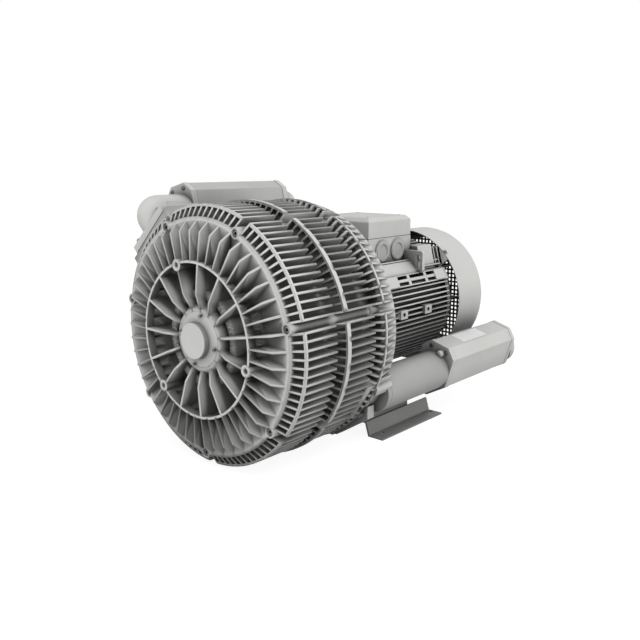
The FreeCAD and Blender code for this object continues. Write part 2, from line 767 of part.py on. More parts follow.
# Long bolts through the three castings
bolts = new_body("casing_bolts")
HEAD_STATION = "rim_station + 2"
SHANK_STATION = HEAD_STATION + " + bolt_head_tall"
shank = rod(bolts, "shank", "bolt_radius", SHANK_STATION,
            "second_joint_station + bolt_deep - 1 - (%s)" % SHANK_STATION, BOLT_X, BOLT_Z)
around(bolts, "shanks", shank, "bolt_count")
head = rod(bolts, "head", "bolt_head_radius", HEAD_STATION, "bolt_head_tall", BOLT_X, BOLT_Z)
around(bolts, "heads", head, "bolt_count")
socket = rod(bolts, "socket", "bolt_socket_radius", HEAD_STATION, "bolt_head_tall / 2",
             BOLT_X, BOLT_Z, cut=True)
around(bolts, "sockets", socket, "bolt_count")

# Hub cap with its four small screws
cap = new_body("hub_cap")
revolve(cap, "cap", [
    ("0", "-3.5"), ("34.8", "-3.5"), ("38.5", "-1.5"), ("42.6", "1.6"), ("45", "6"),
    ("46.5", "hub_station - 4"), ("55", "hub_station - 4"), ("55", "hub_station"),
    ("front_bearing_radius - fit_gap", "hub_station"),
    ("front_bearing_radius - fit_gap", "front_bearing_station"),
    ("front_bearing_radius - 5", "front_bearing_station"),
    ("front_bearing_radius - 5", "4.5"), ("0", "4.5")])
cap_screws = new_body("hub_cap_screws")
CAP_SCREW_X = "50 * cos(77)"
CAP_SCREW_Z = "50 * sin(77)"
screw = rod(cap_screws, "head", "3", "hub_station - 7", "3", CAP_SCREW_X, CAP_SCREW_Z)
around(cap_screws, "heads", screw, "4")

# Front seal and the two rotor stages
seals = new_body("shaft_seals")
FRONT_BEARING_END = "front_bearing_station + front_bearing_wide"
revolve(seals, "front", box_points(
    "front_journal_radius + seal_gap", "front_seal_radius - fit_gap", FRONT_BEARING_END,
    FRONT_BEARING_END + " + front_seal_wide"))
revolve(seals, "rear", box_points(
    "spacer_radius + seal_gap", "rear_seal_radius - fit_gap", REAR_WALL + " - rear_seal_wide",
    REAR_WALL))


def impeller(label, side):
    """A double-sided impeller whose front side lies at a station."""
    body = new_body(label)
    middle_of = "(%s) + impeller_wide / 2" % side
    back = "(%s) + impeller_wide" % side
    revolve(body, "disc", [
        ("shaft_radius + fit_gap", side),
        ("impeller_hub_radius", side),
        ("impeller_hub_radius", middle_of + " - impeller_web / 2"),
        ("channel_inner_radius - vane_rim_wall", middle_of + " - impeller_web / 2"),
        ("channel_inner_radius - vane_rim_wall", side),
        ("channel_inner_radius", side),
        ("channel_inner_radius", middle_of + " - impeller_web / 2"),
        ("impeller_radius", middle_of + " - impeller_web / 2"),
        ("impeller_radius", middle_of + " + impeller_web / 2"),
        ("channel_inner_radius", middle_of + " + impeller_web / 2"),
        ("channel_inner_radius", back),
        ("channel_inner_radius - vane_rim_wall", back),
        ("channel_inner_radius - vane_rim_wall", middle_of + " + impeller_web / 2"),
        ("impeller_hub_radius", middle_of + " + impeller_web / 2"),
        ("impeller_hub_radius", back),
        ("shaft_radius + fit_gap", back),
    ])
    vane = revolve(body, "vane", box_points("channel_inner_radius - 1", "channel_outer_radius",
                                            side, back), sweep="vane_sweep")
    around(body, "vanes", vane, "vane_count")
    block(body, "keyway", "-key_wide / 2", side, "0", "key_wide", "impeller_wide",
          "shaft_radius + key_tall / 2 + fit_gap", cut=True)
    return body


impeller("impeller_first_stage", FIRST_SIDE)
impeller("impeller_second_stage", SECOND_SIDE)

shaft = new_body("shaft")
revolve(shaft, "turned", [
    ("0", "front_bearing_station - 4"),
    ("front_journal_radius", "front_bearing_station - 4"),
    ("front_journal_radius", "front_journal_end_station"),
    ("shaft_radius", "front_journal_end_station"),
    ("shaft_radius", "drive_bearing_station"),
    ("drive_journal_radius", "drive_bearing_station"),
    ("drive_journal_radius", "drive_bearing_station + drive_bearing_wide"),
    ("rotor_shaft_radius", "drive_bearing_station + drive_bearing_wide"),
    ("rotor_shaft_radius", "tail_bearing_station"),
    ("tail_journal_radius", "tail_bearing_station"),
    ("tail_journal_radius", "tail_bearing_station + tail_bearing_wide"),
    ("fan_bore_radius", "tail_bearing_station + tail_bearing_wide"),
    ("fan_bore_radius", "fan_station + fan_wide"),
    ("0", "fan_station + fan_wide"),
])
keys = new_body("shaft_keys")
KEY_FLOOR = "shaft_radius - key_tall / 2"
for number, side in enumerate((FIRST_SIDE, SECOND_SIDE)):
    start = "(%s) + (impeller_wide - key_long) / 2" % side
    block(shaft, "keyway_%d" % number, "-key_wide / 2", start, KEY_FLOOR, "key_wide", "key_long",
          "key_tall", cut=True)
    block(keys, "key_%d" % number, "-key_wide / 2 + fit_gap", start, KEY_FLOOR,
          "key_wide - 2 * fit_gap", "key_long", "key_tall")

nut = new_body("shaft_nut")
revolve(nut, "nut", box_points("shaft_radius + fit_gap", "nut_radius",
                               FIRST_SIDE + " - nut_wide", FIRST_SIDE))
spacers = new_body("shaft_spacers")
revolve(spacers, "between", box_points("shaft_radius + fit_gap", "spacer_radius",
                                       FIRST_SIDE + " + impeller_wide", SECOND_SIDE))
revolve(spacers, "behind", box_points("shaft_radius + fit_gap", "spacer_radius",
                                      SECOND_SIDE + " + impeller_wide", "drive_bearing_station"))

# Bearings: sealed single row ball bearings, outer rings with their shields, inner rings
outer_rings = new_body("bearing_outer_rings")
inner_rings = new_body("bearing_inner_rings")
for place, bore, rim, start, wide in (
        ("front", "front_journal_radius", "front_bearing_radius", "front_bearing_station",
         "front_bearing_wide"),
        ("drive", "drive_journal_radius", "drive_bearing_radius", "drive_bearing_station",
         "drive_bearing_wide"),
        ("tail", "tail_journal_radius", "tail_bearing_radius", "tail_bearing_station",
         "tail_bearing_wide")):
    revolve(inner_rings, place, box_points(bore + " + fit_gap", bore + " + bearing_ring_wall",
                                           start, "%s + %s" % (start, wide)))
    revolve(outer_rings, place, box_points(
        bore + " + bearing_ring_wall + seal_gap", rim + " - fit_gap",
        start, "%s + %s" % (start, wide)))

# Motor: drive end shield, frame, tail end shield
drive_shield = new_body("drive_end_shield")
DRIVE_END = "drive_bearing_station + drive_bearing_wide"
revolve(drive_shield, "bell", [
    ("spacer_radius + 4", "drive_bearing_station - 7"),
    ("spacer_radius + 4", "drive_bearing_station"),
    ("drive_bearing_radius", "drive_bearing_station"),
    ("drive_bearing_radius", DRIVE_END + " + 2"),
    ("drive_bearing_radius + bearing_hub_wall", DRIVE_END + " + 2"),
    ("drive_bearing_radius + bearing_hub_wall", "drive_bearing_station - 7 + shield_web"),
    ("frame_bore_radius - 3", "drive_bearing_station - 7 + shield_web"),
    ("frame_bore_radius - 3", "shield_end_station"),
    ("shield_rim_radius", "shield_end_station"),
    ("shield_rim_radius", "shield_end_station - 20"),
    ("shield_waist_radius", "shield_end_station - 34"),
    ("shield_waist_radius", "adapter_station"),
    ("spigot_radius - spigot_wall", "adapter_station"),
    ("spigot_radius - spigot_wall - 6", "drive_bearing_station - 7"),
])
frame = new_body("motor_housing")
revolve(frame, "tube", box_points("frame_bore_radius", "frame_radius", "shield_end_station",
                                  "frame_end_station"))
fin = revolve(frame, "fin", box_points("frame_radius - 2", "motor_fin_radius",
                                       "shield_end_station + 3", "frame_end_station"),
              sweep="motor_fin_sweep", turn="180 / motor_fin_count")
around(frame, "fins", fin, "motor_fin_count")
revolve(frame, "bare_top", box_points("frame_radius", "motor_fin_radius + 9",
                                      "box_station - 4", "box_station + box_long + 4"),
        sweep="bare_top_angle", turn="90", cut=True)
block(frame, "saddle", "-saddle_half_wide", "box_station + (box_long - saddle_long) / 2",
      "frame_bore_radius - 4", "2 * saddle_half_wide", "saddle_long",
      "box_floor_level - frame_bore_radius + 4")
revolve(frame, "bore_again", box_points("frame_bore_radius - 30", "frame_bore_radius",
                                        "shield_end_station", "frame_end_station"), cut=True)
for side, angle in (("right", "rail_angle"), ("left", "180 - rail_angle")):
    plate(frame, "%s_rail" % side, box_points(
        "motor_fin_radius - 4", "rail_radius + rail_thick", "rail_station", "frame_end_station"),
        "rail_wide", turn=angle)
    for row_name, sign in (("low", "-"), ("high", "+")):
        window = trench(frame, "%s_%s_window" % (side, row_name), box_points(
            "motor_fin_radius - 4", "rail_radius + rail_thick + 1", "rail_window_station",
            "rail_window_station + rail_window_long"), "rail_window_wide",
            turn="%s %s rail_window_angle" % (angle, sign))
        in_line(frame, "%s_%s_windows" % (side, row_name), window, "Y_Axis",
                "rail_window_pitch", "rail_window_count")
for side, sign in (("right", "1"), ("left", "-1")):
    for number in ("0", "1"):
        station = "pad_lug_station + %s * pad_lug_pitch" % number
        block(frame, "%s_lug_%s" % (side, number),
              "%s * (frame_radius - 2 + pad_lug_reach) / 2 - (pad_lug_reach - frame_radius + 2) / 2"
              % sign, station + " - pad_lug_long / 2", "-pad_lug_tall / 2",
              "pad_lug_reach - frame_radius + 2", "pad_lug_long", "pad_lug_tall")

tail_shield = new_body("tail_end_shield")
TAIL_END = "tail_bearing_station + tail_bearing_wide"
revolve(tail_shield, "disc", [
    ("tail_bearing_radius", "tail_bearing_station - 1"),
    ("tail_bearing_radius", TAIL_END),
    ("tail_journal_radius + 2", TAIL_END),
    ("tail_journal_radius + 2", TAIL_END + " + 6"),
    ("tail_bearing_radius + bearing_hub_wall", TAIL_END + " + 6"),
    ("frame_bore_radius", "frame_end_station + tail_shield_wide"),
    ("shield_rim_radius", "frame_end_station + tail_shield_wide"),
    ("shield_rim_radius + 4", "frame_end_station"),
    ("frame_bore_radius - 3", "frame_end_station"),
    ("frame_bore_radius - 3", "frame_end_station + tail_shield_wide - shield_web"),
    ("tail_bearing_radius + bearing_hub_wall", "frame_end_station + tail_shield_wide - shield_web"),
    ("tail_bearing_radius + bearing_hub_wall", "tail_bearing_station - 1"),
])
lug = revolve(tail_shield, "cowl_lug", box_points(
    "shield_rim_radius - 2", "cowl_radius - cowl_wall - 0.1", "cowl_station",
    "frame_end_station + tail_shield_wide"), sweep="cowl_lug_angle", turn="45")
around(tail_shield, "cowl_lugs", lug, "cowl_lug_count")

# Electrical core of the motor
stator = new_body("stator_core")
revolve(stator, "stack", box_points("rotor_radius + air_gap", "frame_bore_radius - fit_gap",
                                    "core_station", "core_station + core_long"))
windings = new_body("stator_windings")
for end, start in (("front", "core_station - winding_long"), ("rear", "core_station + core_long")):
    revolve(windings, end, box_points("rotor_radius + air_gap + 6",
                                      "rotor_radius + air_gap + 6 + winding_wall", start,
                                      "%s + winding_long" % start))
rotor = new_body("rotor_core")
revolve(rotor, "stack", box_points("rotor_shaft_radius + fit_gap", "rotor_radius",
                                   "core_station", "core_station + core_long"))

# Cooling fan
fan = new_body("cooling_fan")
revolve(fan, "hub", [
    ("fan_bore_radius + fit_gap", "fan_station"), ("fan_radius - 20", "fan_station"),
    ("fan_radius - 20", "fan_station + fan_plate"), ("fan_hub_radius", "fan_station + fan_plate"),
    ("fan_hub_radius", "fan_station + fan_wide"), ("fan_bore_radius + fit_gap", "fan_station + fan_wide"),
])
blade = plate(fan, "blade", [
    ("fan_hub_radius - 2", "fan_station + 1"), ("fan_radius", "fan_station + 1"),
    ("fan_radius", "fan_station + fan_wide - 6"), ("fan_hub_radius - 2", "fan_station + fan_wide"),
], "fan_blade_thick")
around(fan, "blades", blade, "fan_blade_count")

# Cowl over the fan, its grille and screws
cowl = new_body("fan_cowl")
revolve(cowl, "shell", [
    ("cowl_radius", "cowl_station"),
    ("cowl_radius", "cowl_end_station - cowl_round"),
    ("cowl_radius - cowl_round * 0.076", "cowl_end_station - cowl_round * 0.617"),
    ("cowl_radius - cowl_round * 0.293", "cowl_end_station - cowl_round * 0.293"),
    ("cowl_radius - cowl_round * 0.617", "cowl_end_station - cowl_round * 0.076"),
    ("cowl_radius - cowl_round", "cowl_end_station"),
    ("grille_radius", "cowl_end_station"),
    ("grille_radius", "cowl_end_station - cowl_wall"),
    ("cowl_radius - cowl_round", "cowl_end_station - cowl_wall"),
    ("cowl_radius - cowl_round * 0.617 - cowl_wall * 0.383",
     "cowl_end_station - cowl_round * 0.076 - cowl_wall * 0.924"),
    ("cowl_radius - cowl_round * 0.293 - cowl_wall * 0.707",
     "cowl_end_station - cowl_round * 0.293 - cowl_wall * 0.707"),
    ("cowl_radius - cowl_round * 0.076 - cowl_wall * 0.924",
     "cowl_end_station - cowl_round * 0.617 - cowl_wall * 0.383"),
    ("cowl_radius - cowl_wall", "cowl_end_station - cowl_round"),
    ("cowl_radius - cowl_wall", "cowl_station"),
])
cowl_screws = new_body("cowl_screws")
screw = radial(cowl_screws, "head", "5", "cowl_radius", "3", "cowl_station + 5", "45")
around(cowl_screws, "heads", screw, "cowl_lug_count")


def grille_layer(name, station, lengthwise):
    """Parallel square wires trimmed to a circle."""
    wires = []
    for i in range(int(SIZES["grille_count"])):
        wire = doc.addObject("Part::Box", "%s_wire_%d" % (name, i))
        across = "(%d - (grille_count - 1) / 2) * grille_pitch - grille_wire_wide / 2" % i
        bind(wire, "Width", "grille_wire")
        bind(wire, "Length", "2 * grille_radius" if lengthwise else "grille_wire_wide")
        bind(wire, "Height", "grille_wire_wide" if lengthwise else "2 * grille_radius")
        bind(wire, "Placement.Base.x", "-grille_radius" if lengthwise else across)
        bind(wire, "Placement.Base.y", "%s - foot_middle_station" % station)
        bind(wire, "Placement.Base.z", "shaft_height + " + (across if lengthwise else "-grille_radius"))
        wires.append(wire)
    bundle = doc.addObject("Part::Compound", name + "_wires")
    bundle.Links = wires
    disc = doc.addObject("Part::Cylinder", name + "_disc")
    disc.Placement = Placement(Vector(), ALONG_SHAFT)
    bind(disc, "Radius", "grille_radius - fit_gap")
    bind(disc, "Height", "grille_wire")
    bind(disc, "Placement.Base.y", "%s - foot_middle_station" % station)
    bind(disc, "Placement.Base.z", "shaft_height")
    layer = doc.addObject("Part::Common", name + "_layer")
    layer.Base = bundle
    layer.Tool = disc
    return layer


grille = doc.addObject("Part::Compound", "fan_grille")
grille.Links = [
    grille_layer("cross", "cowl_end_station - grille_wire", True),
    grille_layer("upright", "cowl_end_station - 2 * grille_wire - fit_gap", False),
]
nodes.append(grille)

# Terminal box on its saddle
box = new_body("terminal_box")
block(box, "outside", "-box_half_wide", "box_station", "box_skirt_level", "2 * box_half_wide",
      "box_long", "box_joint_level - box_skirt_level")
rod(box, "seat", "frame_radius + 0.3", "box_station - 1", "box_long + 2", cut=True)
block(box, "skirt", "-box_half_wide + box_wall", "box_station + box_wall", "box_skirt_level",
      "2 * (box_half_wide - box_wall)", "box_long - 2 * box_wall",
      "box_floor_level - box_skirt_level", cut=True)
block(box, "inside", "-box_half_wide + box_wall", "box_station + box_wall",
      "box_floor_level + box_wall", "2 * (box_half_wide - box_wall)", "box_long - 2 * box_wall",
      "box_joint_level - box_floor_level - box_wall", cut=True)
pad = rod(box, "entry_pad", "entry_pad_radius", "entry_station",
          "entry_pad_thick + box_wall / 2", "box_half_wide - box_wall / 2", "entry_level",
          to_right=True)
in_line(box, "entry_pads", pad, "Y_Axis", "entry_pitch", "2")
hole = rod(box, "entry", "entry_radius", "entry_station", "entry_pad_thick + box_wall + 1",
           "box_half_wide - box_wall - 1", "entry_level", cut=True, to_right=True)
in_line(box, "entries", hole, "Y_Axis", "entry_pitch", "2")
plugs = new_body("blanking_plugs")
plug = rod(plugs, "shank", "entry_radius - fit_gap", "entry_station",
           "entry_pad_thick + box_wall", "box_half_wide - box_wall", "entry_level", to_right=True)
in_line(plugs, "shanks", plug, "Y_Axis", "entry_pitch", "2")
plug = rod(plugs, "head", "plug_head_radius", "entry_station", "plug_head_thick",
                "box_half_wide + entry_pad_thick", "entry_level", to_right=True)
in_line(plugs, "heads", plug, "Y_Axis", "entry_pitch", "2")
plug = rod(plugs, "dish", "plug_head_radius - 6", "entry_station", "plug_head_thick",
           "box_half_wide + entry_pad_thick + plug_head_thick / 2", "entry_level", cut=True,
           to_right=True)
in_line(plugs, "dishes", plug, "Y_Axis", "entry_pitch", "2")

gasket = new_body("box_gasket")
block(gasket, "sheet", "-box_half_wide", "box_station", "box_joint_level", "2 * box_half_wide",
      "box_long", "box_gasket")
block(gasket, "window", "-box_half_wide + box_wall", "box_station + box_wall", "box_joint_level",
      "2 * (box_half_wide - box_wall)", "box_long - 2 * box_wall", "box_gasket", cut=True)
lid = new_body("box_lid")
LID_LEVEL = "box_joint_level + box_gasket"
block(lid, "cover", "-box_half_wide", "box_station", LID_LEVEL, "2 * box_half_wide", "box_long",
      "box_top_level - box_joint_level - box_gasket")
doc.recompute()
cover = lid.Tip
highest = cover.Shape.BoundBox.ZMax
top_edges = ["Edge%d" % number for number, edge in enumerate(cover.Shape.Edges, 1)
             if min(corner.Z for corner in edge.Vertexes) > highest - 0.01]
bevel = lid.newObject("PartDesign::Chamfer", "box_lid_bevel")
bevel.Base = (cover, top_edges)
bind(bevel, "Size", "lid_bevel")
block(lid, "inside", "-box_half_wide + box_wall", "box_station + box_wall", LID_LEVEL,
      "2 * (box_half_wide - box_wall)", "box_long - 2 * box_wall",
      "box_top_level - lid_bevel - box_joint_level - box_gasket", cut=True)
lid_screws = new_body("box_lid_screws")
screw = upright(lid_screws, "head", "small_screw_radius", "box_half_wide - lid_screw_inset",
                "box_station + lid_screw_inset", "box_top_level", "small_screw_tall")
grid = lid_screws.newObject("PartDesign::LinearPattern", "box_lid_screws_grid")
grid.Originals = [screw]
grid.Direction = (origin_part(lid_screws, "X_Axis"), [""])
grid.Reversed = True
grid.Direction2 = (origin_part(lid_screws, "Y_Axis"), [""])
bind(grid, "Length", "2 * (box_half_wide - lid_screw_inset)")
bind(grid, "Length2", "box_long - 2 * lid_screw_inset")
grid.Occurrences = 2
grid.Occurrences2 = 2
lid_screws.Tip = grid
board = new_body("terminal_board")
BOARD_LEVEL = "box_floor_level + box_wall"
BOARD_STATION = "box_station + (box_long - board_long) / 2"
block(board, "slab", "-board_half_wide", BOARD_STATION, BOARD_LEVEL, "2 * board_half_wide",
      "board_long", "board_tall")
studs = new_body("terminal_studs")
stud = upright(studs, "stud", "stud_radius", "-stud_pitch", BOARD_STATION + " + board_long / 2 - stud_pitch / 2",
               BOARD_LEVEL + " + board_tall", "stud_tall")
grid = studs.newObject("PartDesign::LinearPattern", "terminal_studs_grid")
grid.Originals = [stud]
grid.Direction = (origin_part(studs, "X_Axis"), [""])
grid.Direction2 = (origin_part(studs, "Y_Axis"), [""])
bind(grid, "Length", "2 * stud_pitch")
bind(grid, "Length2", "stud_pitch")
grid.Occurrences = 3
grid.Occurrences2 = 2
studs.Tip = grid

lifting = new_body("lifting_bracket")
LIFT_LEVEL = "motor_fin_radius + fit_gap"
block(lifting, "base", "-20", "box_station + box_long + 14", LIFT_LEVEL, "40", "48", "8")
block(lifting, "ear", "-6", "box_station + box_long + 18", LIFT_LEVEL + " + 7", "12", "40", "34")
rod(lifting, "eye", "11", "box_station + box_long + 38", "14", "-7", LIFT_LEVEL + " + 24",
    cut=True, to_right=True)


# Silencers: the same product twice, in a frame of its own with Y along its axis
def silencer(side, x, station, z, turn):
    """Front cap, box, lining, end cap with its threaded collar, and the cap screws."""
    here = dict(x=x, station=station, z=z, turn=turn)
    cap = new_body("%s_silencer_cap" % side, **here)
    along(cap, "plate", [section()], [("0", "0", "pipe_bore_radius")], "0", "silencer_cap_thick")
    shell = new_body("%s_silencer_box" % side, **here)
    along(shell, "box", [section("1"), section("1 + silencer_wall")], [],
          "silencer_cap_thick", "silencer_box_long")
    lining = new_body("%s_silencer_lining" % side, **here)
    along(lining, "foam", [section("1 + silencer_wall + 0.1")], [("0", "0", "pipe_bore_radius")],
          "silencer_cap_thick", "silencer_box_long")
    end = new_body("%s_silencer_end_cap" % side, **here)
    back = "silencer_cap_thick + silencer_box_long"
    along(end, "plate", [section()], [], back, "silencer_cap_thick")
    rod(end, "collar", "collar_radius", back, "silencer_cap_thick + collar_long")
    rod(end, "port", "port_radius", back, "silencer_cap_thick + collar_long", cut=True)
    screws = new_body("%s_silencer_screws" % side, **here)
    for tag, start in (("front", "-small_screw_tall"), ("back", back + " + silencer_cap_thick")):
        for corner, across, up in (("left", "-cap_screw_x", "cap_screw_top"),
                                   ("right", "cap_screw_x", "cap_screw_top"),
                                   ("low", "0", "-cap_screw_low")):
            rod(screws, "%s_%s" % (tag, corner), "small_screw_radius", start, "small_screw_tall",
                across, up)


silencer("right", "right_x", "right_station", "-right_z", "right_tilt")
silencer("left", "left_reach * cos(port_angle)", "left_station", "left_reach * sin(port_angle)",
         "-left_tilt")

right_pipe = new_body("right_pipe")
along(right_pipe, "tube", [], [("right_x", "-right_z", "pipe_radius"),
                               ("right_x", "-right_z", "pipe_bore_radius")],
      "rear_flange_station + 2", "right_station - rear_flange_station - 2")

# Elbow of the left port, in a frame whose X points outwards along the port
FLANGE_FACE = "port_block_face + port_gasket"
elbow = new_body("left_elbow", turn="-port_angle")


def elbow_space(name, radius, low, cut):
    """The round corner of the elbow, solid or hollow."""
    kind = "PartDesign::SubtractiveSphere" if cut else "PartDesign::AdditiveSphere"
    rod(elbow, name + "_leg", radius, "port_station", "left_reach - (%s)" % low, low,
        cut=cut, to_right=True)
    ball = elbow.newObject(kind, "left_elbow_%s_ball" % name)
    bind(ball, "Radius", radius)
    bind(ball, "Placement.Base.x", "left_reach")
    bind(ball, "Placement.Base.y", "port_station")
    rod(elbow, name + "_arm", radius, "port_station", "left_station - port_station",
        "left_reach", cut=cut)


elbow_space("skin", "pipe_radius", FLANGE_FACE, False)
block(elbow, "flange", FLANGE_FACE, "port_block_station", "-elbow_flange_wide / 2",
      "elbow_flange_thick", "port_flange_long", "elbow_flange_wide")
block(elbow, "seat", "left_reach - pipe_radius - 1", "port_block_station - 5",
      "-elbow_flange_wide / 2", FLANGE_FACE + " - left_reach + pipe_radius + 1",
      "port_block_long + 5.5", "elbow_flange_wide", cut=True)
elbow_space("bore", "pipe_bore_radius", FLANGE_FACE, True)
port_gasket = new_body("port_gasket", turn="-port_angle")
block(port_gasket, "sheet", "port_block_face", "port_block_station", "-elbow_flange_wide / 2",
      "port_gasket", "port_block_long", "elbow_flange_wide")
block(port_gasket, "hole", "port_block_face", "port_station - duct_long / 2", "-duct_wide / 2",
      "port_gasket", "duct_long", "duct_wide", cut=True)
elbow_screws = new_body("elbow_screws", turn="-port_angle")
for corner, sign_y, sign_z in (("a", "-", "-"), ("b", "-", ""), ("c", "+", "-"), ("d", "+", "")):
    rod(elbow_screws, corner, "elbow_screw_radius",
        "port_station %s elbow_screw_station" % sign_y, "elbow_screw_tall",
        FLANGE_FACE + " + elbow_flange_thick", "%selbow_screw_side" % sign_z, to_right=True)

# Feet: bent plates under the beams of the rear casing, and their screws
foot_screws = new_body("foot_screws")
for side, sign in (("right", ""), ("left", "-")):
    foot = new_body("foot_" + side)
    outline = [
        ("foot_outer_x", "0"), ("foot_outer_x", "foot_plate"),
        ("foot_bend_x + foot_plate", "foot_plate"),
        ("foot_bend_x - foot_lean + foot_plate", "foot_height"),
        ("foot_top_x", "foot_height"), ("foot_top_x", "foot_height - foot_plate"),
        ("foot_bend_x - foot_lean", "foot_height - foot_plate"), ("foot_bend_x", "0"),
    ]
    outline = [("%s(%s)" % (sign, x), "%s - shaft_height" % z) for x, z in outline]
    along(foot, "sheet", [outline], [], "foot_station", "foot_long")
    inner = "foot_top_x - 1" if sign == "" else "-foot_bend_x + foot_lean - 1"
    block(foot, "short_top", inner, "foot_station + foot_top_long",
          "foot_height - foot_plate - 1 - shaft_height", "foot_bend_x - foot_lean - foot_top_x + 2",
          "foot_long - foot_top_long", "foot_plate + 2", cut=True)
    hole = upright(foot, "hole", "foot_hole_radius", sign + "foot_hole_x",
                   "foot_middle_station - foot_hole_pitch / 2", "-1 - shaft_height",
                   "foot_plate + 2", cut=True)
    in_line(foot, "holes", hole, "Y_Axis", "foot_hole_pitch", "2")
    hole = upright(foot, "top_hole", "foot_screw_radius + 0.5", sign + SCREW_X, SCREW_STATION,
                   FOOT_TOP + " - foot_plate - 1", "foot_plate + 2", cut=True)
    in_line(foot, "top_holes", hole, "Y_Axis", "foot_screw_pitch", "2")
    shank = upright(foot_screws, side + "_shank", "foot_screw_radius", sign + SCREW_X,
                    SCREW_STATION, FOOT_TOP + " - foot_plate", "foot_plate + rail_beam_tall")
    in_line(foot_screws, side + "_shanks", shank, "Y_Axis", "foot_screw_pitch", "2")
    head = upright(foot_screws, side + "_head", "foot_screw_head_radius", sign + SCREW_X,
                   SCREW_STATION, FOOT_TOP + " - foot_plate - foot_screw_head_tall",
                   "foot_screw_head_tall")
    in_line(foot_screws, side + "_heads", head, "Y_Axis", "foot_screw_pitch", "2")

doc.recompute()
os.makedirs("parts", exist_ok=True)
for thing in doc.Objects:
    if "Invalid" in thing.State or "Error" in thing.State:
        raise ValueError("%s did not build" % thing.Name)
for node in nodes:
    if node.Shape.isNull() or not node.Shape.isValid():
        raise ValueError("%s has no valid shape" % node.Label)
    node.Shape.exportStep("parts/%s.step" % node.Label)
    print(node.Label, len(node.Shape.Solids), round(node.Shape.Volume / 1000, 1), "cm3")
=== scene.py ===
import json
import math

import bmesh
import bpy
from mathutils import Matrix, Vector

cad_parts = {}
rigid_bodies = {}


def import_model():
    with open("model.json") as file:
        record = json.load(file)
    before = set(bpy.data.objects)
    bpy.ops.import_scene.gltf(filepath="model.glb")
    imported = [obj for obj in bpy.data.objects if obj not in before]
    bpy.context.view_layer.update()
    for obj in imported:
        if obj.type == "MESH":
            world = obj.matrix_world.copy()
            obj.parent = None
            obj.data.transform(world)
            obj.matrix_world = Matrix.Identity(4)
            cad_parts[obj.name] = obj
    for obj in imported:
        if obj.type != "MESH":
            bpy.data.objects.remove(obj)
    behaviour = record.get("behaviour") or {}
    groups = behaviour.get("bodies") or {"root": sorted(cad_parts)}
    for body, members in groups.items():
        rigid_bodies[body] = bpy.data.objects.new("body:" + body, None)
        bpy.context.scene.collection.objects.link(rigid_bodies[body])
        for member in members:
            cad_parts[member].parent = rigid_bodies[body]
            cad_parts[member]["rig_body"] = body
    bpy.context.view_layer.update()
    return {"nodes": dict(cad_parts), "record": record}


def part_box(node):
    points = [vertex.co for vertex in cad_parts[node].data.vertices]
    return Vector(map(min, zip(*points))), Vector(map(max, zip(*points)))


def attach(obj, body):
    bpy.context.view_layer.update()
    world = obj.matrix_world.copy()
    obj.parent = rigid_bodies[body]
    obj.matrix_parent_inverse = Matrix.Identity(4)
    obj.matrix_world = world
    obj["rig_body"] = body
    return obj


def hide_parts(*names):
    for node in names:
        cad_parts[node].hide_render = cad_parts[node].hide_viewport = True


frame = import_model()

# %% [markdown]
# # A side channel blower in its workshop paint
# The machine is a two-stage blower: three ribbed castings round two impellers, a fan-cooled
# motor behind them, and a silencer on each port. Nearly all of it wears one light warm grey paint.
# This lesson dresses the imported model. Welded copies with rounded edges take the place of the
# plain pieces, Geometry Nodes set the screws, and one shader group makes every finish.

nodes = frame["nodes"]
slot_of = {part["node"]: part["material_slot"] for part in frame["record"]["subparts"]}

# %% [markdown]
# ## The camera
# The picture was taken from the impeller end, to the right of the shaft and a little above it.
# A lens of about 42 mm on a 36 mm sensor gives the same perspective as the picture, so the
# camera is placed by its own location and turn and needs no shift.

# %% Camera
CAMERA_AT = (1.0770, -1.3573, 0.5902)
CAMERA_AZIMUTH = 41.549
CAMERA_ELEVATION = 11.914
LENS_MM, SENSOR_MM = 41.51, 36
camera = bpy.data.objects.new("camera", bpy.data.cameras.new("camera"))
camera.location = CAMERA_AT
camera.rotation_euler = (math.radians(90 - CAMERA_ELEVATION), 0, math.radians(CAMERA_AZIMUTH))
camera.data.lens = LENS_MM
camera.data.sensor_width = SENSOR_MM
bpy.context.scene.collection.objects.link(camera)
bpy.context.scene.camera = camera
print("camera looks down by", CAMERA_ELEVATION, "degrees")

# %% [markdown]
# ## An empty paint group
# Every finish below is a small tree of shader nodes. All of them share one group, so that grain,
# a painted highlight on sharp edges and painted shade in corners and hollows are drawn once and
# only their amounts change. The group's sockets carry plain names, and a helper adds a node, sets
# its values and joins its inputs in one call.


# %% The group and its sockets
def place(tree, kind, inputs=None, **settings):
    """Add a node; an input may be a value or the output socket of another node."""
    node = tree.nodes.new(kind)
    for name, value in settings.items():
        setattr(node, name, value)
    for name, value in (inputs or {}).items():
        socket = node.inputs[name]
        if isinstance(value, bpy.types.NodeSocket):
            tree.links.new(value, socket)
        else:
            socket.default_value = value
    return node


def new_group(name, inputs, outputs):
    """An empty shader group with named sockets; returns it with its two end nodes."""
    group = bpy.data.node_groups.new(name, "ShaderNodeTree")
    for title, kind, value in inputs:
        socket = group.interface.new_socket(title, in_out="INPUT", socket_type=kind)
        socket.default_value = value
    for title, kind in outputs:
        group.interface.new_socket(title, in_out="OUTPUT", socket_type=kind)
    return group, place(group, "NodeGroupInput"), place(group, "NodeGroupOutput")


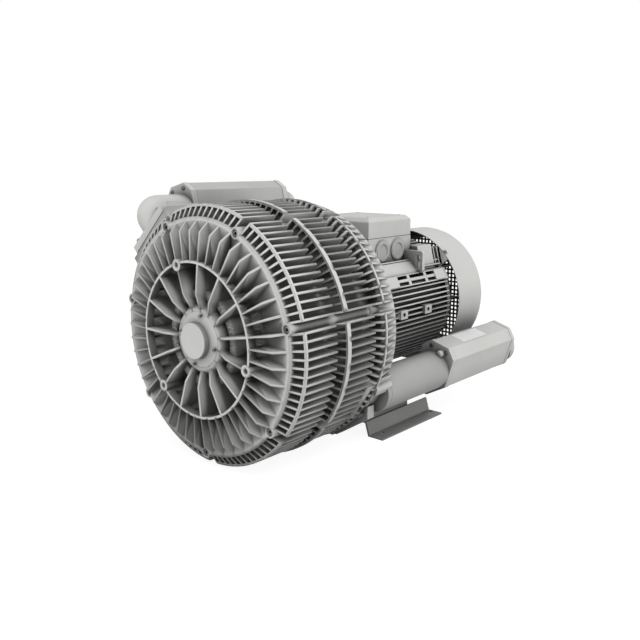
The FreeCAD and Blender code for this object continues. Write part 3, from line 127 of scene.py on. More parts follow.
coat, coat_in, coat_out = new_group("paint_over_metal", [
    ("Colour", "NodeSocketColor", (0.6, 0.6, 0.58, 1)),
    ("Grain Size", "NodeSocketFloat", 0.0015),
    ("Grain Height", "NodeSocketFloat", 0.2),
    ("Edge Round", "NodeSocketFloat", 0.0012),
    # Painted highlight: how much sharp edges are lightened in colour.
    ("Edge Highlight", "NodeSocketFloat", 0.12),
    # Painted shade: how strongly corners and hollows are darkened in colour.
    ("Painted Shade", "NodeSocketFloat", 0.35),
    ("Roughness", "NodeSocketFloat", 0.5),
], [("Colour", "NodeSocketColor"), ("Roughness", "NodeSocketFloat"),
    ("Normal", "NodeSocketVector")])
print("paint group:", len(coat_in.outputs) - 1, "named inputs")

# %% [markdown]
# ## Paint over cast metal
# Blower castings are sprayed once with a semi-matt grey. The paint follows the grain of the sand
# or die casting. Sharp edges are lightened as a painted highlight, and the places where surfaces
# meet are darkened as painted shade. An image could be painted for it, but a procedural group
# reaches every fin: noise in object space draws the grain, a Bevel node rounds the shading of
# edges and finds them, and two occlusion nodes find the corners and the deep hollows between the
# fins, which take the painted shade.


# %% Grain, edges and hollows
def maths(tree, operation, first, second):
    """One arithmetic step."""
    step = place(tree, "ShaderNodeMath", operation=operation)
    for socket, value in zip(step.inputs, (first, second)):
        if isinstance(value, bpy.types.NodeSocket):
            tree.links.new(value, socket)
        else:
            socket.default_value = value
    return step.outputs[0]


CLOUDS_PER_METRE = 9.0
# The reaches and the power of the two occlusion masks that make the painted shade.
CORNER_REACH, HOLLOW_REACH = 0.020, 0.140
HOLLOW_DARKENING = 1.7
where = place(coat, "ShaderNodeTexCoord").outputs["Object"]
clouds = place(coat, "ShaderNodeTexNoise", {
    "Vector": where, "Scale": CLOUDS_PER_METRE, "Detail": 4.0})
specks = place(coat, "ShaderNodeTexNoise", {
    "Vector": where, "Scale": maths(coat, "DIVIDE", 1.0, coat_in.outputs["Grain Size"]),
    "Detail": 3.0, "Roughness": 0.6})
rounded_edge = place(coat, "ShaderNodeBevel", {"Radius": coat_in.outputs["Edge Round"]}, samples=4)
flat = place(coat, "ShaderNodeNewGeometry")
facing = place(coat, "ShaderNodeVectorMath", operation="DOT_PRODUCT")
coat.links.new(rounded_edge.outputs["Normal"], facing.inputs[0])
coat.links.new(flat.outputs["Normal"], facing.inputs[1])
# Painted shade: two occlusion masks darken the colour in corners and in the deep hollows between
# fins.
corner = place(coat, "ShaderNodeAmbientOcclusion", {"Distance": CORNER_REACH}, samples=4)
hollow = place(coat, "ShaderNodeAmbientOcclusion", {"Distance": HOLLOW_REACH}, samples=6)
deep = maths(coat, "POWER", hollow.outputs["AO"], HOLLOW_DARKENING)
open_air = maths(coat, "MULTIPLY", corner.outputs["AO"], deep)
painted_shade = maths(coat, "MULTIPLY", maths(coat, "SUBTRACT", 1.0, open_air),
             coat_in.outputs["Painted Shade"])
print("masks for grain, edges and dust:", len(coat.nodes), "nodes")

# %% [markdown]
# ## From masks to colour, gloss and grain
# The masks meet in one grey value: soft clouds of a few percent, plus a painted highlight on sharp
# edges, less the painted shade of corners and hollows. The colour is multiplied by it, the specks
# also vary the roughness, and a Bump node turns them into a fine relief on top of the rounded
# normal.


# %% The group's three outputs
def remap(tree, value, low, high, to_low, to_high):
    """Map one range of values onto another, clamped."""
    return place(tree, "ShaderNodeMapRange", {
        "Value": value, "From Min": low, "From Max": high, "To Min": to_low,
        "To Max": to_high}).outputs["Result"]


def shade_of(tree, colour, amount):
    """The colour times a grey value."""
    grey = place(tree, "ShaderNodeCombineColor", {"Red": amount, "Green": amount, "Blue": amount})
    mix = place(tree, "ShaderNodeMix", data_type="RGBA", blend_type="MULTIPLY")
    mix.inputs["Factor"].default_value = 1
    tree.links.new(colour, mix.inputs["A"])
    tree.links.new(grey.outputs["Color"], mix.inputs["B"])
    return mix.outputs["Result"]


EDGE_SHARP, EDGE_FLAT = 0.75, 0.99
NOISE_LOW, NOISE_HIGH = 0.3, 0.7
CLOUD_DARK, CLOUD_LIGHT = 0.95, 1.04
ROUGHNESS_SWING = 0.06
GRAIN_DEPTH = 0.0006
# Painted highlight: sharp edges, where the rounded normal leaves the flat one, are lightened in
# colour.
edge = remap(coat, facing.outputs["Value"], EDGE_SHARP, EDGE_FLAT, 1, 0)
shade = remap(coat, clouds.outputs["Fac"], NOISE_LOW, NOISE_HIGH, CLOUD_DARK, CLOUD_LIGHT)
shade = maths(coat, "ADD", shade, maths(coat, "MULTIPLY", edge, coat_in.outputs["Edge Highlight"]))
# The painted shade of corners and hollows is taken off the colour.
shade = maths(coat, "MULTIPLY", shade, maths(coat, "SUBTRACT", 1.0, painted_shade))
coat.links.new(shade_of(coat, coat_in.outputs["Colour"], shade), coat_out.inputs["Colour"])
rough = remap(coat, specks.outputs["Fac"], NOISE_LOW, NOISE_HIGH, -ROUGHNESS_SWING,
              ROUGHNESS_SWING)
coat.links.new(maths(coat, "ADD", rough, coat_in.outputs["Roughness"]),
               coat_out.inputs["Roughness"])
grain = place(coat, "ShaderNodeBump", {
    "Strength": coat_in.outputs["Grain Height"], "Distance": GRAIN_DEPTH,
    "Height": specks.outputs["Fac"], "Normal": rounded_edge.outputs["Normal"]})
coat.links.new(grain.outputs["Normal"], coat_out.inputs["Normal"])
print("paint group:", len(coat.nodes), "nodes")

# %% [markdown]
# ## The painted finishes
# The castings, the motor and the sheet parts carry the same paint over different grounds: sand
# cast aluminium is a little rough, the motor's iron rougher, and pressed sheet nearly smooth.
# The right pipe and the feet are a tone darker than the rest, and the left silencer's box is
# drawn a tone darker as painted shade. A row gives the colour, the grain's size and height, the
# radius and painted highlight of edges, the painted shade of corners and hollows, and the
# roughness.


# %% Paint on casting, motor and sheet
def finish_of(name, colour, grain, edges, painted_shade, roughness, metallic=0.0):
    """A material from the group; grain is size and height, edges are radius and painted highlight,
    painted_shade darkens corners and hollows.
    """
    material = bpy.data.materials.new(name)
    material.use_nodes = True
    tree = material.node_tree
    shader = tree.nodes["Principled BSDF"]
    # The painted_shade value darkens corners and hollows in colour, as painted shade.
    layer = place(tree, "ShaderNodeGroup", {
        "Colour": (*colour, 1), "Grain Size": grain[0], "Grain Height": grain[1],
        "Edge Round": edges[0], "Edge Highlight": edges[1], "Painted Shade": painted_shade,
        "Roughness": roughness}, node_tree=coat)
    tree.links.new(layer.outputs["Colour"], shader.inputs["Base Color"])
    tree.links.new(layer.outputs["Roughness"], shader.inputs["Roughness"])
    tree.links.new(layer.outputs["Normal"], shader.inputs["Normal"])
    shader.inputs["Metallic"].default_value = metallic
    return material


PAINT = (0.66, 0.66, 0.641)
DARKER_PAINT = (0.52, 0.52, 0.505)
# Columns: colour, grain, edges with their painted highlight, painted shade of corners and hollows,
# roughness.
painted = {
    "casing_paint": (PAINT, (0.0012, 0.35), (0.0012, 0.25), 0.92, 0.5),
    "motor_paint": (PAINT, (0.0020, 0.45), (0.0010, 0.20), 0.98, 0.55),
    "sheet_paint": (PAINT, (0.0030, 0.10), (0.0010, 0.08), 0.80, 0.42),
    "pipe_paint": ((0.42, 0.42, 0.41), (0.0030, 0.12), (0.0010, 0.08), 0.75, 0.5),
    "foot_paint": (DARKER_PAINT, (0.0020, 0.12), (0.0010, 0.30), 0.80, 0.45),
    # Painted shade: a darker copy of the sheet paint for the left silencer's box.
    "sheet_in_painted_shade": (DARKER_PAINT, (0.0030, 0.10), (0.0010, 0.08), 0.80, 0.42),
}
finishes = {name: finish_of(name, *values) for name, values in painted.items()}
# The left silencer's box takes the darker copy of the sheet paint as painted shade.
special = {"right_pipe": finishes["pipe_paint"], "foot_right": finishes["foot_paint"],
           "foot_left": finishes["foot_paint"], "left_silencer_box": finishes["sheet_in_painted_shade"]}
print("painted finishes:", ", ".join(finishes))

# %% [markdown]
# ## The finishes inside
# The inner parts are bare metal, copper, rubber or foam. They use the same group with values of
# their own, because machined or moulded surfaces also vary a little and round off at their
# edges. The rows are as before, with one more value, 1, where the finish is metal.

# %% Metal, copper, rubber, plastic and foam
# The fourth value is the painted shade of corners and hollows here too.
bare = {
    "bright_steel": ((0.26, 0.26, 0.265), (0.0008, 0.1), (0.0004, 0.2), 0.6, 0.38, 1.0),
    "shaft_steel": ((0.45, 0.45, 0.46), (0.0010, 0.1), (0.0006, 0.15), 0.2, 0.28, 1.0),
    "impeller_metal": ((0.62, 0.62, 0.63), (0.0015, 0.4), (0.0008, 0.1), 0.3, 0.42, 1.0),
    "core_steel": ((0.22, 0.22, 0.23), (0.0006, 0.3), (0.0005, 0.1), 0.3, 0.5, 1.0),
    "copper_winding": ((0.55, 0.24, 0.10), (0.0012, 0.8), (0.0010, 0.2), 0.4, 0.35, 1.0),
    "dark_rubber": ((0.025, 0.025, 0.026), (0.0010, 0.3), (0.0005, 0.05), 0.1, 0.7),
    "fan_plastic": ((0.04, 0.04, 0.042), (0.0010, 0.2), (0.0008, 0.05), 0.2, 0.5),
    "plug_plastic": ((0.50, 0.50, 0.49), (0.0012, 0.15), (0.0008, 0.1), 0.35, 0.45),
    "board_plastic": ((0.20, 0.11, 0.06), (0.0010, 0.2), (0.0006, 0.1), 0.2, 0.5),
    "stud_brass": ((0.65, 0.47, 0.20), (0.0008, 0.1), (0.0004, 0.15), 0.2, 0.3, 1.0),
    "foam": ((0.05, 0.05, 0.05), (0.0030, 1.0), (0.0020, 0.05), 0.3, 0.95),
}
finishes.update({name: finish_of(name, *values) for name, values in bare.items()})


def coating(name):
    """The finish of a node: its own, or the one that its slot names."""
    return special.get(name, finishes[slot_of[name]])


for name, node in nodes.items():
    node.data.materials.clear()
    node.data.materials.append(coating(name))
print(len(finishes), "finishes on", len(nodes), "nodes")

# %% [markdown]
# ## Welded copies of the castings
# An imported node is a shell of loose triangles, so its round walls look faceted, and a copy
# stands in for it. Its shape can't be changed, but a copy can stand in for it. The copy's doubled
# corners are merged, and its shallow edges are shaded smooth.
# The ribbed castings stop there: a bevel would break on their many fine crossings, and their paint
# already rounds the edges in its shading.

# %% Weld, smooth and stand in
SMOOTH_BELOW = 32
MERGE_WITHIN = 0.00002
FLAT_WITHIN = math.radians(1)
BEVEL_STEPS = 2


def welded(name, joined):
    """A merged copy of a node's mesh, with its flat triangles joined where asked."""
    shape = bmesh.new()
    shape.from_mesh(nodes[name].data)
    bmesh.ops.remove_doubles(shape, verts=shape.verts, dist=MERGE_WITHIN)
    bmesh.ops.dissolve_degenerate(shape, edges=shape.edges, dist=MERGE_WITHIN / 2)
    if joined:
        bmesh.ops.dissolve_limit(shape, angle_limit=FLAT_WITHIN, verts=shape.verts,
                                 edges=shape.edges)
    return mesh_of(shape, name + "_dressed")


def mesh_of(shape, name):
    """Turn a finished bmesh into a mesh."""
    mesh = bpy.data.meshes.new(name)
    shape.to_mesh(mesh)
    shape.free()
    return mesh


def smooth_below(mesh, degrees):
    """Shade smooth across shallow edges and keep the others sharp."""
    mesh.shade_smooth()
    mesh.set_sharp_from_angle(angle=math.radians(degrees))


def add_piece(name, mesh, body, edge=0.0, degrees=SMOOTH_BELOW):
    """Put a mesh in the scene on a body, with its sharp edges rounded where asked."""
    piece = bpy.data.objects.new(name, mesh)
    bpy.context.scene.collection.objects.link(piece)
    if edge > 0:
        bevel = piece.modifiers.new("round_edges", "BEVEL")
        bevel.width = edge
        bevel.segments = BEVEL_STEPS
        bevel.limit_method = "ANGLE"
        bevel.angle_limit = math.radians(degrees)
        bevel.harden_normals = True
    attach(piece, body)
    return piece


def stand_in(name, mesh, edge=0.0):
    """Let a finished mesh ride its body in place of a node."""
    piece = add_piece(name + "_dressed", mesh, nodes[name]["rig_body"], edge)
    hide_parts(name)


def dress(name, edge=0.0, reshape=None, joined=False):
    """Stand a welded copy in for a node, with rounded edges and a new shape where asked."""
    mesh = welded(name, joined or edge > 0)
    if reshape:
        for point in mesh.vertices:
            point.co = reshape(point.co.copy())
    smooth_below(mesh, SMOOTH_BELOW)
    mesh.materials.append(coating(name))
    stand_in(name, mesh, edge)
    return mesh


for name in ("front_casing", "middle_casing", "rear_casing", "drive_end_shield",
             "tail_end_shield"):
    print(name, "dressed:", len(dress(name).polygons), "faces")

# %% [markdown]
# ## Rounded copies of the plainer parts
# Boxes, caps, feet and the cowl have few edges, so these get a real radius. Their flat triangles
# are first joined back into whole faces, and a Bevel modifier then rounds each sharp edge by as
# much as a casting or a folded sheet has.

# %% Real edges
EDGES = {
    "terminal_box": 0.0025, "left_silencer_cap": 0.003, "left_silencer_end_cap": 0.003,
    "right_silencer_cap": 0.003, "right_silencer_end_cap": 0.003, "left_silencer_box": 0.001,
    "right_silencer_box": 0.001, "right_pipe": 0.0005, "left_elbow": 0.002, "foot_right": 0.001,
    "foot_left": 0.001, "fan_cowl": 0.0005, "lifting_bracket": 0.002, "cooling_fan": 0.0005}
for name, edge_radius in EDGES.items():
    dress(name, edge_radius)
print(len(EDGES), "pieces with rounded edges")

# %% [markdown]
# ## Round parts with a small change
# The inner bearing rings turn, and both they and the shields round them are faceted, so their
# outer walls are drawn in a little to keep clear. The hub cap's raised middle is a plain disc
# with an upright wall on the real machine. The motor housing has too many crossings for a bevel
# and is only joined and smoothed.

# %% Bearing rings, motor housing and hub cap
SHAFT_LEVEL = 0.264
RING_CLEARANCE = 0.0006
RING_REACH = 0.02
CAP_DISC_RADIUS = 0.0348
CAP_WALL_KEPT = 0.12
CAP_RAISED = 0.0122
CAP_FLANGE_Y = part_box("hub_cap")[0][1] + CAP_RAISED


def shaft_distance(point):
    """How far a point lies from the shaft's axis."""
    return math.hypot(point.x, point.z - SHAFT_LEVEL)


def away_from_shaft(point):
    """The direction from the shaft's axis to a point."""
    return Vector((point.x, 0, point.z - SHAFT_LEVEL)).normalized()


def clear_of_the_shield(point):
    """Draw in the outer wall of an inner bearing ring."""
    walls = [far for y, far in ring_points if abs(y - point.y) < RING_REACH]
    if shaft_distance(point) < (min(walls) + max(walls)) / 2:
        return point
    return point - away_from_shaft(point) * RING_CLEARANCE


def plain_disc(point):
    """Stand the sloping wall of the hub cap's raised middle nearly upright."""
    spread = shaft_distance(point) - CAP_DISC_RADIUS
    if point.y > CAP_FLANGE_Y or spread < 0:
        return point
    return point - away_from_shaft(point) * (1 - CAP_WALL_KEPT) * spread


ring_points = [(point.co.y, shaft_distance(point.co))
               for point in nodes["bearing_inner_rings"].data.vertices]
dress("bearing_inner_rings", reshape=clear_of_the_shield)
housing_mesh = dress("motor_housing", joined=True)
dress("hub_cap", edge=0.0012, reshape=plain_disc)
print("motor housing:", len(housing_mesh.polygons), "faces")

# %% [markdown]
# ## The terminal box closed up
# The blanking plugs sit nearly flush in the wall of the terminal box. The lid's rim reaches down
# over the gasket, so hardly a joint shows. Both are small moves of corners in the copies, and
# the gasket shrinks a little to keep clear of the rim.

# %% Plugs, lid and gasket
PLUG_SUNK = 0.0045
GASKET_SCALE = 0.985
LID_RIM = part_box("box_lid")[0][2]
RIM_WITHIN = 0.0005
gasket_low, gasket_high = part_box("box_gasket")
gasket_middle_y = (gasket_low[1] + gasket_high[1]) / 2


def pushed_in(point):
    """Sink a blanking plug into the wall."""
    return point - Vector((PLUG_SUNK, 0, 0))


def over_the_joint(point):
    """Reach down with the lid's rim, as far as the box."""
    if point.z < LID_RIM + RIM_WITHIN:
        point.z = gasket_low[2]
    return point


def inside_the_rim(point):
    """Keep the gasket clear of the lid's rim."""
    return Vector((point.x * GASKET_SCALE,
                   gasket_middle_y + (point.y - gasket_middle_y) * GASKET_SCALE, point.z))


dress("blanking_plugs", edge=0.001, reshape=pushed_in)
dress("box_lid", edge=0.003, reshape=over_the_joint)
dress("box_gasket", edge=0.0002, reshape=inside_the_rim)

# %% [markdown]
# ## Where the screws are
# The model draws each screw as plain cylinders, and all screws of one joint share a node. New
# ones are to lie exactly where the old ones were, so each old screw is taken apart and measured
# along the direction that its head faces: down the shaft on the cover, outwards on the cowl,
# away from the middle on each silencer, and square to the flange on the elbow.

# %% The screws of each joint
PORT_TURN = math.radians(133.8)
HEAD_SHARE = 0.9
SHANK_END_WITHIN = 0.0002
flange = Vector((math.cos(PORT_TURN), 0, math.sin(PORT_TURN)))
screw_jobs = (("hub_cap_screws", (0, -1, 0)), ("casing_bolts", (0, -1, 0)),
              ("cowl_screws", "radial"), ("box_lid_screws", (0, 0, 1)),
              ("right_silencer_screws", "ends"), ("left_silencer_screws", "ends"),
              ("elbow_screws", flange), ("foot_screws", (0, 0, -1)))
silencer_middle = {}
for on_the_right, name in ((True, "right_silencer_box"), (False, "left_silencer_box")):
    low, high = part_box(name)
    silencer_middle[on_the_right] = (low[1] + high[1]) / 2


def outward(kind, points):
    """The direction that a screw's head faces."""
    middle = sum(points, Vector()) / len(points)
    if kind == "radial":
        return away_from_shaft(middle)
    if kind == "ends":
        return Vector((0, 1 if middle.y > silencer_middle[middle.x > 0] else -1, 0))
    return Vector(kind)


def parts_of(name):
    """The corners of each separate screw in a node, as lists of points."""
    shape = bmesh.new()
    shape.from_mesh(nodes[name].data)
    bmesh.ops.remove_doubles(shape, verts=shape.verts, dist=MERGE_WITHIN)
    left, parts = set(shape.verts), []
    while left:
        reached, rim = set(), {left.pop()}
        while rim:
            point = rim.pop()
            reached.add(point)
            rim |= {line.other_vert(point) for line in point.link_edges} - reached
        left -= reached
        parts.append([point.co.copy() for point in reached])
    shape.free()
    return parts


def measured(points, facing):
    """Seat of the head, head radius and height, shank radius and length, along a direction."""
    along = [point.dot(facing) for point in points]
    middle = sum(points, Vector()) / len(points)
    axis_point = middle - facing * middle.dot(facing)
    far = [(point - facing * point.dot(facing) - axis_point).length for point in points]
    head = [a for a, r in zip(along, far) if r > HEAD_SHARE * max(far)]
    shank = [r for a, r in zip(along, far) if a < min(along) + SHANK_END_WITHIN]
    return (axis_point + facing * min(head), max(far), max(head) - min(head), max(shank),
            min(head) - min(along))


found = {name: parts_of(name) for name, kind in screw_jobs}
print("screws:", {name: len(parts) for name, parts in found.items()})

# %% [markdown]
# ## One screw, turned up from rings
# A socket screw is round all over but for its hexagon. Rings of corners at rising heights are
# joined by walls: shank, seat, rim, face, and the hexagon that goes down into the head. A ring
# has twenty-four corners, so that a hexagon's corners meet a circle's without a twist.

# %% Rings, walls and the screw
RING_CORNERS = 24
RIM_ROUND, RIM_STEP, KEY_WIDTH, KEY_BOTTOM = 0.18, 0.3, 0.5, 0.4
SHORTEST_SHANK = 0.0005


def ring(shape, radius, height, hexagon=False):
    """Corners on a circle or on a hexagon."""
    corners = []
    for step in range(RING_CORNERS):
        angle = math.tau * step / RING_CORNERS
        reach = radius
        if hexagon:
            reach = radius / math.cos((angle + math.pi / 6) % (math.pi / 3) - math.pi / 6)
        corners.append(shape.verts.new((reach * math.cos(angle), reach * math.sin(angle), height)))
    return corners


def walls(shape, rows):
    """Join each ring of corners to the next."""
    for low, high in zip(rows, rows[1:]):
        for i in range(len(low)):
            j = (i + 1) % len(low)
            shape.faces.new((low[i], low[j], high[j], high[i]))


def capped(shape, rows):
    """Walls between rings, closed at the bottom and the top."""
    walls(shape, rows)
    shape.faces.new(reversed(rows[0]))
    shape.faces.new(rows[-1])


def socket_screw(name, head_radius, head_height, shank_radius, shank_length):
    """One screw: shank, head with a rounded rim, hexagon socket."""
    shape = bmesh.new()
    rim = RIM_ROUND * head_radius
    key = KEY_WIDTH * head_radius
    rows = []
    if shank_length > SHORTEST_SHANK:
        rows = [ring(shape, shank_radius, -shank_length), ring(shape, shank_radius, 0)]
    rows += [ring(shape, head_radius, 0), ring(shape, head_radius, head_height - rim),
             ring(shape, head_radius - RIM_STEP * rim, head_height - RIM_STEP * rim),
             ring(shape, head_radius - rim, head_height),
             ring(shape, key, head_height, hexagon=True),
             ring(shape, key, KEY_BOTTOM * head_height, hexagon=True)]
    capped(shape, rows)
    return bpy.data.objects.new(name, mesh_of(shape, name))


print("a screw's head has", 6 * RING_CORNERS, "corners")

# %% [markdown]
# ## A tree that sets screws on points
# The tree takes the points, the screw, its finish and a seed. Align Rotation to Vector lays the
# screw's own axis along the direction kept on each point. A seeded random turn about that axis
# keeps the sockets from lining up, as on a machine put together by hand, and the screws are then
# made real, because the export drops instances.

# %% The Geometry Nodes tree
tree = bpy.data.node_groups.new("screws_on_points", "GeometryNodeTree")
tree.interface.new_socket("Points", in_out="INPUT", socket_type="NodeSocketGeometry")
for title, kind in (("Screw", "NodeSocketObject"), ("Finish", "NodeSocketMaterial"),
                    ("Seed", "NodeSocketInt")):
    tree.interface.new_socket(title, in_out="INPUT", socket_type=kind)
tree.interface.new_socket("Geometry", in_out="OUTPUT", socket_type="NodeSocketGeometry")
given = place(tree, "NodeGroupInput")
facing_of = place(tree, "GeometryNodeInputNamedAttribute", {"Name": "facing"},
                  data_type="FLOAT_VECTOR")
lay = place(tree, "FunctionNodeAlignRotationToVector", {
    "Vector": next(s for s in facing_of.outputs if s.enabled and s.name == "Attribute")}, axis="Z")
turn = place(tree, "FunctionNodeRandomValue", {"Seed": given.outputs["Seed"]},
             data_type="FLOAT_VECTOR")
turn.inputs[0].default_value = (0, 0, 0)
turn.inputs[1].default_value = (0, 0, math.pi)
spin = place(tree, "FunctionNodeRotateRotation", {
    "Rotation": lay.outputs["Rotation"], "Rotate By": turn.outputs[0]}, rotation_space="LOCAL")
screw = place(tree, "GeometryNodeObjectInfo", {"Object": given.outputs["Screw"]})
set_down = place(tree, "GeometryNodeInstanceOnPoints", {
    "Points": given.outputs["Points"], "Instance": screw.outputs["Geometry"],
    "Rotation": spin.outputs["Rotation"]})
real = place(tree, "GeometryNodeRealizeInstances", {"Geometry": set_down.outputs["Instances"]})
coated = place(tree, "GeometryNodeSetMaterial", {
    "Geometry": real.outputs["Geometry"], "Material": given.outputs["Finish"]})
place(tree, "NodeGroupOutput", {"Geometry": coated.outputs["Geometry"]})
print("screw tree:", len(tree.nodes), "nodes")

# %% [markdown]
# ## The tree run once for each joint
# A mesh with nothing but points carries the seats, and an attribute on it carries the directions.
# The modifier's inputs are set by their identifiers before it is first evaluated. The finished
# mesh is then taken off, the holder goes, and a plain piece takes the node's place. The lid's
# screws are sunk in its face.

# %% Set every screw
LID_SCREWS_SUNK = 0.85
SCREW_SMOOTH = 40


def grown(holder, tree, inputs):
    """Run a Geometry Nodes tree on an object and return the finished mesh."""
    modifier = holder.modifiers.new("tree", "NODES")
    modifier.node_group = tree
    sockets = {item.name: item.identifier for item in tree.interface.items_tree
               if item.item_type == "SOCKET" and item.in_out == "INPUT"}
    for title, value in inputs.items():
        modifier[sockets[title]] = value
    bpy.context.view_layer.update()
    ready = holder.evaluated_get(bpy.context.evaluated_depsgraph_get())
    mesh = bpy.data.meshes.new_from_object(ready)
    bpy.data.objects.remove(holder)
    return mesh


for seed, (name, kind) in enumerate(screw_jobs, 1):
    facings = [outward(kind, points) for points in found[name]]
    sizes = [measured(points, facing) for points, facing in zip(found[name], facings)]
    shape = socket_screw(name + "_shape", *sizes[0][1:])
    cloud = bpy.data.meshes.new(name + "_points")
    sunk = LID_SCREWS_SUNK * sizes[0][2] if name == "box_lid_screws" else 0
    cloud.from_pydata([size[0] - facing * sunk for size, facing in zip(sizes, facings)], [], [])
    kept = cloud.attributes.new("facing", "FLOAT_VECTOR", "POINT")
    kept.data.foreach_set("vector", [v for facing in facings for v in facing])
    holder = bpy.data.objects.new(name + "_points", cloud)
    bpy.context.scene.collection.objects.link(holder)
    bpy.context.scene.collection.objects.link(shape)
    mesh = grown(holder, tree, {"Screw": shape, "Finish": finishes[slot_of[name]], "Seed": seed})
    smooth_below(mesh, SCREW_SMOOTH)
    stand_in(name, mesh)
    bpy.data.objects.remove(shape)
    print(name, len(sizes), "screws, head radius", round(sizes[0][1] * 1000, 1), "mm, shank",
          round(sizes[0][4] * 1000, 1), "mm")

# %% [markdown]
# ## Outlines pushed along the shaft
# Castings on the motor are easiest to read as outlines across the shaft, in millimetres from its
# axis, that are pushed along it from one station to another. Stations count from the machine's
# front face. Helpers give the outlines that come back: an arc, a circle, a rectangle with round
# corners and one that stands on a radius.

# %% Outlines
STATION_ZERO = 0.5015


def at_shaft(x, station, z):
    """Millimetres from the shaft's axis and the front face, as a point of the frame."""
    return Vector((x / 1000, station / 1000 - STATION_ZERO, z / 1000 + SHAFT_LEVEL))


def arc(radius, low, high, steps=10):
    """Points on an arc round the shaft, between two angles."""
    angles = [math.radians(low + (high - low) * i / steps) for i in range(steps + 1)]
    return [(radius * math.cos(a), radius * math.sin(a)) for a in angles]


def circle(x, z, radius, corners):
    """Points on a whole circle."""
    angles = [math.tau * i / corners for i in range(corners)]
    return [(x + radius * math.cos(a), z + radius * math.sin(a)) for a in angles]


def rounded(left, right, low, high, radius, steps=5):
    """A rectangle with round corners, as points that run one way round."""
    corners = ((right - radius, high - radius, 0), (left + radius, high - radius, 90),
               (left + radius, low + radius, 180), (right - radius, low + radius, 270))
    points = []
    for x, z, start in corners:
        for i in range(steps + 1):
            a = math.radians(start + 90 * i / steps)
            points.append((x + radius * math.cos(a), z + radius * math.sin(a)))
    return points


def turned_box(angle, wide, inner, outer):
    """A rectangle that stands on a radius, as four points."""
    across, out = math.radians(angle + 90), math.radians(angle)
    return [(r * math.cos(out) + w * math.cos(across), r * math.sin(out) + w * math.sin(across))
            for r, w in ((inner, -wide / 2), (outer, -wide / 2), (outer, wide / 2),
                         (inner, wide / 2))]


print("the front face is at", [round(v, 4) for v in at_shaft(0, 0, 0)])

# %% [markdown]
# ## Cast shoulders on the motor
# Beside the terminal box the motor's fins stop: a smooth shoulder runs down to the slotted rail,
# a lifting lug with a slot stands on it, and behind the lug stands a smooth block with three ribs
# after it. The rail ends in two solid blocks. All are on the side that the picture shows.

# %% Shoulder, lug, block, ribs and rail ends
CAST_EDGE = 0.0015
CAST_SMOOTH = 35
SHOULDER = arc(151, 33, 45.5) + [(80, 107.7), (80, 98)] + arc(138, 45, 33)
PAD = [(117, 84), (103, 139), (84, 139), (84, 100)]
RIB = [(115, 86), (103, 131), (84, 131), (84, 95)]
RIB_STATIONS, RIB_THICK = (652, 667, 681), 4
LUG, LUG_SLOT = rounded(84, 139, 84, 132, 6), rounded(122, 131.5, 88, 121, 4)
RAIL_END = turned_box(angle=27.75, wide=26, inner=143, outer=155.5)
RAIL_ENDS = (("front", 423, 467), ("back", 613, 653))


def pushed(name, outline, low, high, slot, hole=None):
    """A solid from an outline across the shaft; the hole has as many points as the outline."""
    shape = bmesh.new()
    ends = []
    for station in (low, high):
        rims = [[shape.verts.new(at_shaft(x, station, z)) for x, z in rim]
                for rim in (outline, hole) if rim]
        ends.append(rims)
        if hole:
            walls(shape, rims)
        else:
            shape.faces.new(rims[0])
    for near, far in zip(*ends):
        walls(shape, (near, far))
    bmesh.ops.recalc_face_normals(shape, faces=shape.faces)
    mesh = mesh_of(shape, name)
    smooth_below(mesh, CAST_SMOOTH)
    mesh.materials.append(finishes[slot])
    return add_piece(name, mesh, "root", CAST_EDGE, CAST_SMOOTH)


pushed("motor_shoulder", SHOULDER, 424, 590, "motor_paint")
pushed("lifting_lug", LUG, 556, 566, "motor_paint", hole=LUG_SLOT)
pushed("motor_pad", PAD, 586, 644, "motor_paint")
for station in RIB_STATIONS:
    pushed("motor_rib_%d" % station, RIB, station, station + RIB_THICK, "motor_paint")
for end, low, high in RAIL_ENDS:
    pushed("rail_block_" + end, RAIL_END, low, high, "motor_paint")
print("shoulder, lug, pad,", len(RIB_STATIONS), "ribs and rail blocks are on the motor")

# %% [markdown]
# ## The port at the rear casing
# The model's port boss starts at the casing's band, where its open front end would show. On the
# machine only a collar shows behind the flange. A Boolean takes the boss away in front of it, on
# the dressed copy alone, and leaves what lies inside the band.

# %% Cut the boss back
PORT_X, PORT_Z = 194.4, -130.0
PORT_CUT_RADIUS = 49
BAND_TIP = 261.8
BOSS_LOW, BOSS_HIGH = 255, 312.4
CUT_PAST = 10
DRUM_CORNERS = 96


def drum(name, x, z, radius, low, high):
    """A plain cylinder along the shaft, used only as a cutter."""
    shape = bmesh.new()
    rims = [[shape.verts.new(at_shaft(px, station, pz))
             for px, pz in circle(x, z, radius, DRUM_CORNERS)] for station in (low, high)]
    capped(shape, rims)
    bmesh.ops.recalc_face_normals(shape, faces=shape.faces)
    cutter = bpy.data.objects.new(name, mesh_of(shape, name))
    bpy.context.scene.collection.objects.link(cutter)
    return cutter


def cut_away(target, cutter):
    """Subtract one object from another, keep the result as plain mesh and drop the cutter."""
    step = target.modifiers.new("cut", "BOOLEAN")
    step.operation = "DIFFERENCE"
    step.solver = "EXACT"
    step.object = cutter
    bpy.context.view_layer.update()
    ready = target.evaluated_get(bpy.context.evaluated_depsgraph_get())
    old = target.data
    fresh = bpy.data.meshes.new_from_object(ready)
    target.modifiers.remove(step)
    target.data = fresh
    bpy.data.meshes.remove(old)
    bpy.data.objects.remove(cutter)


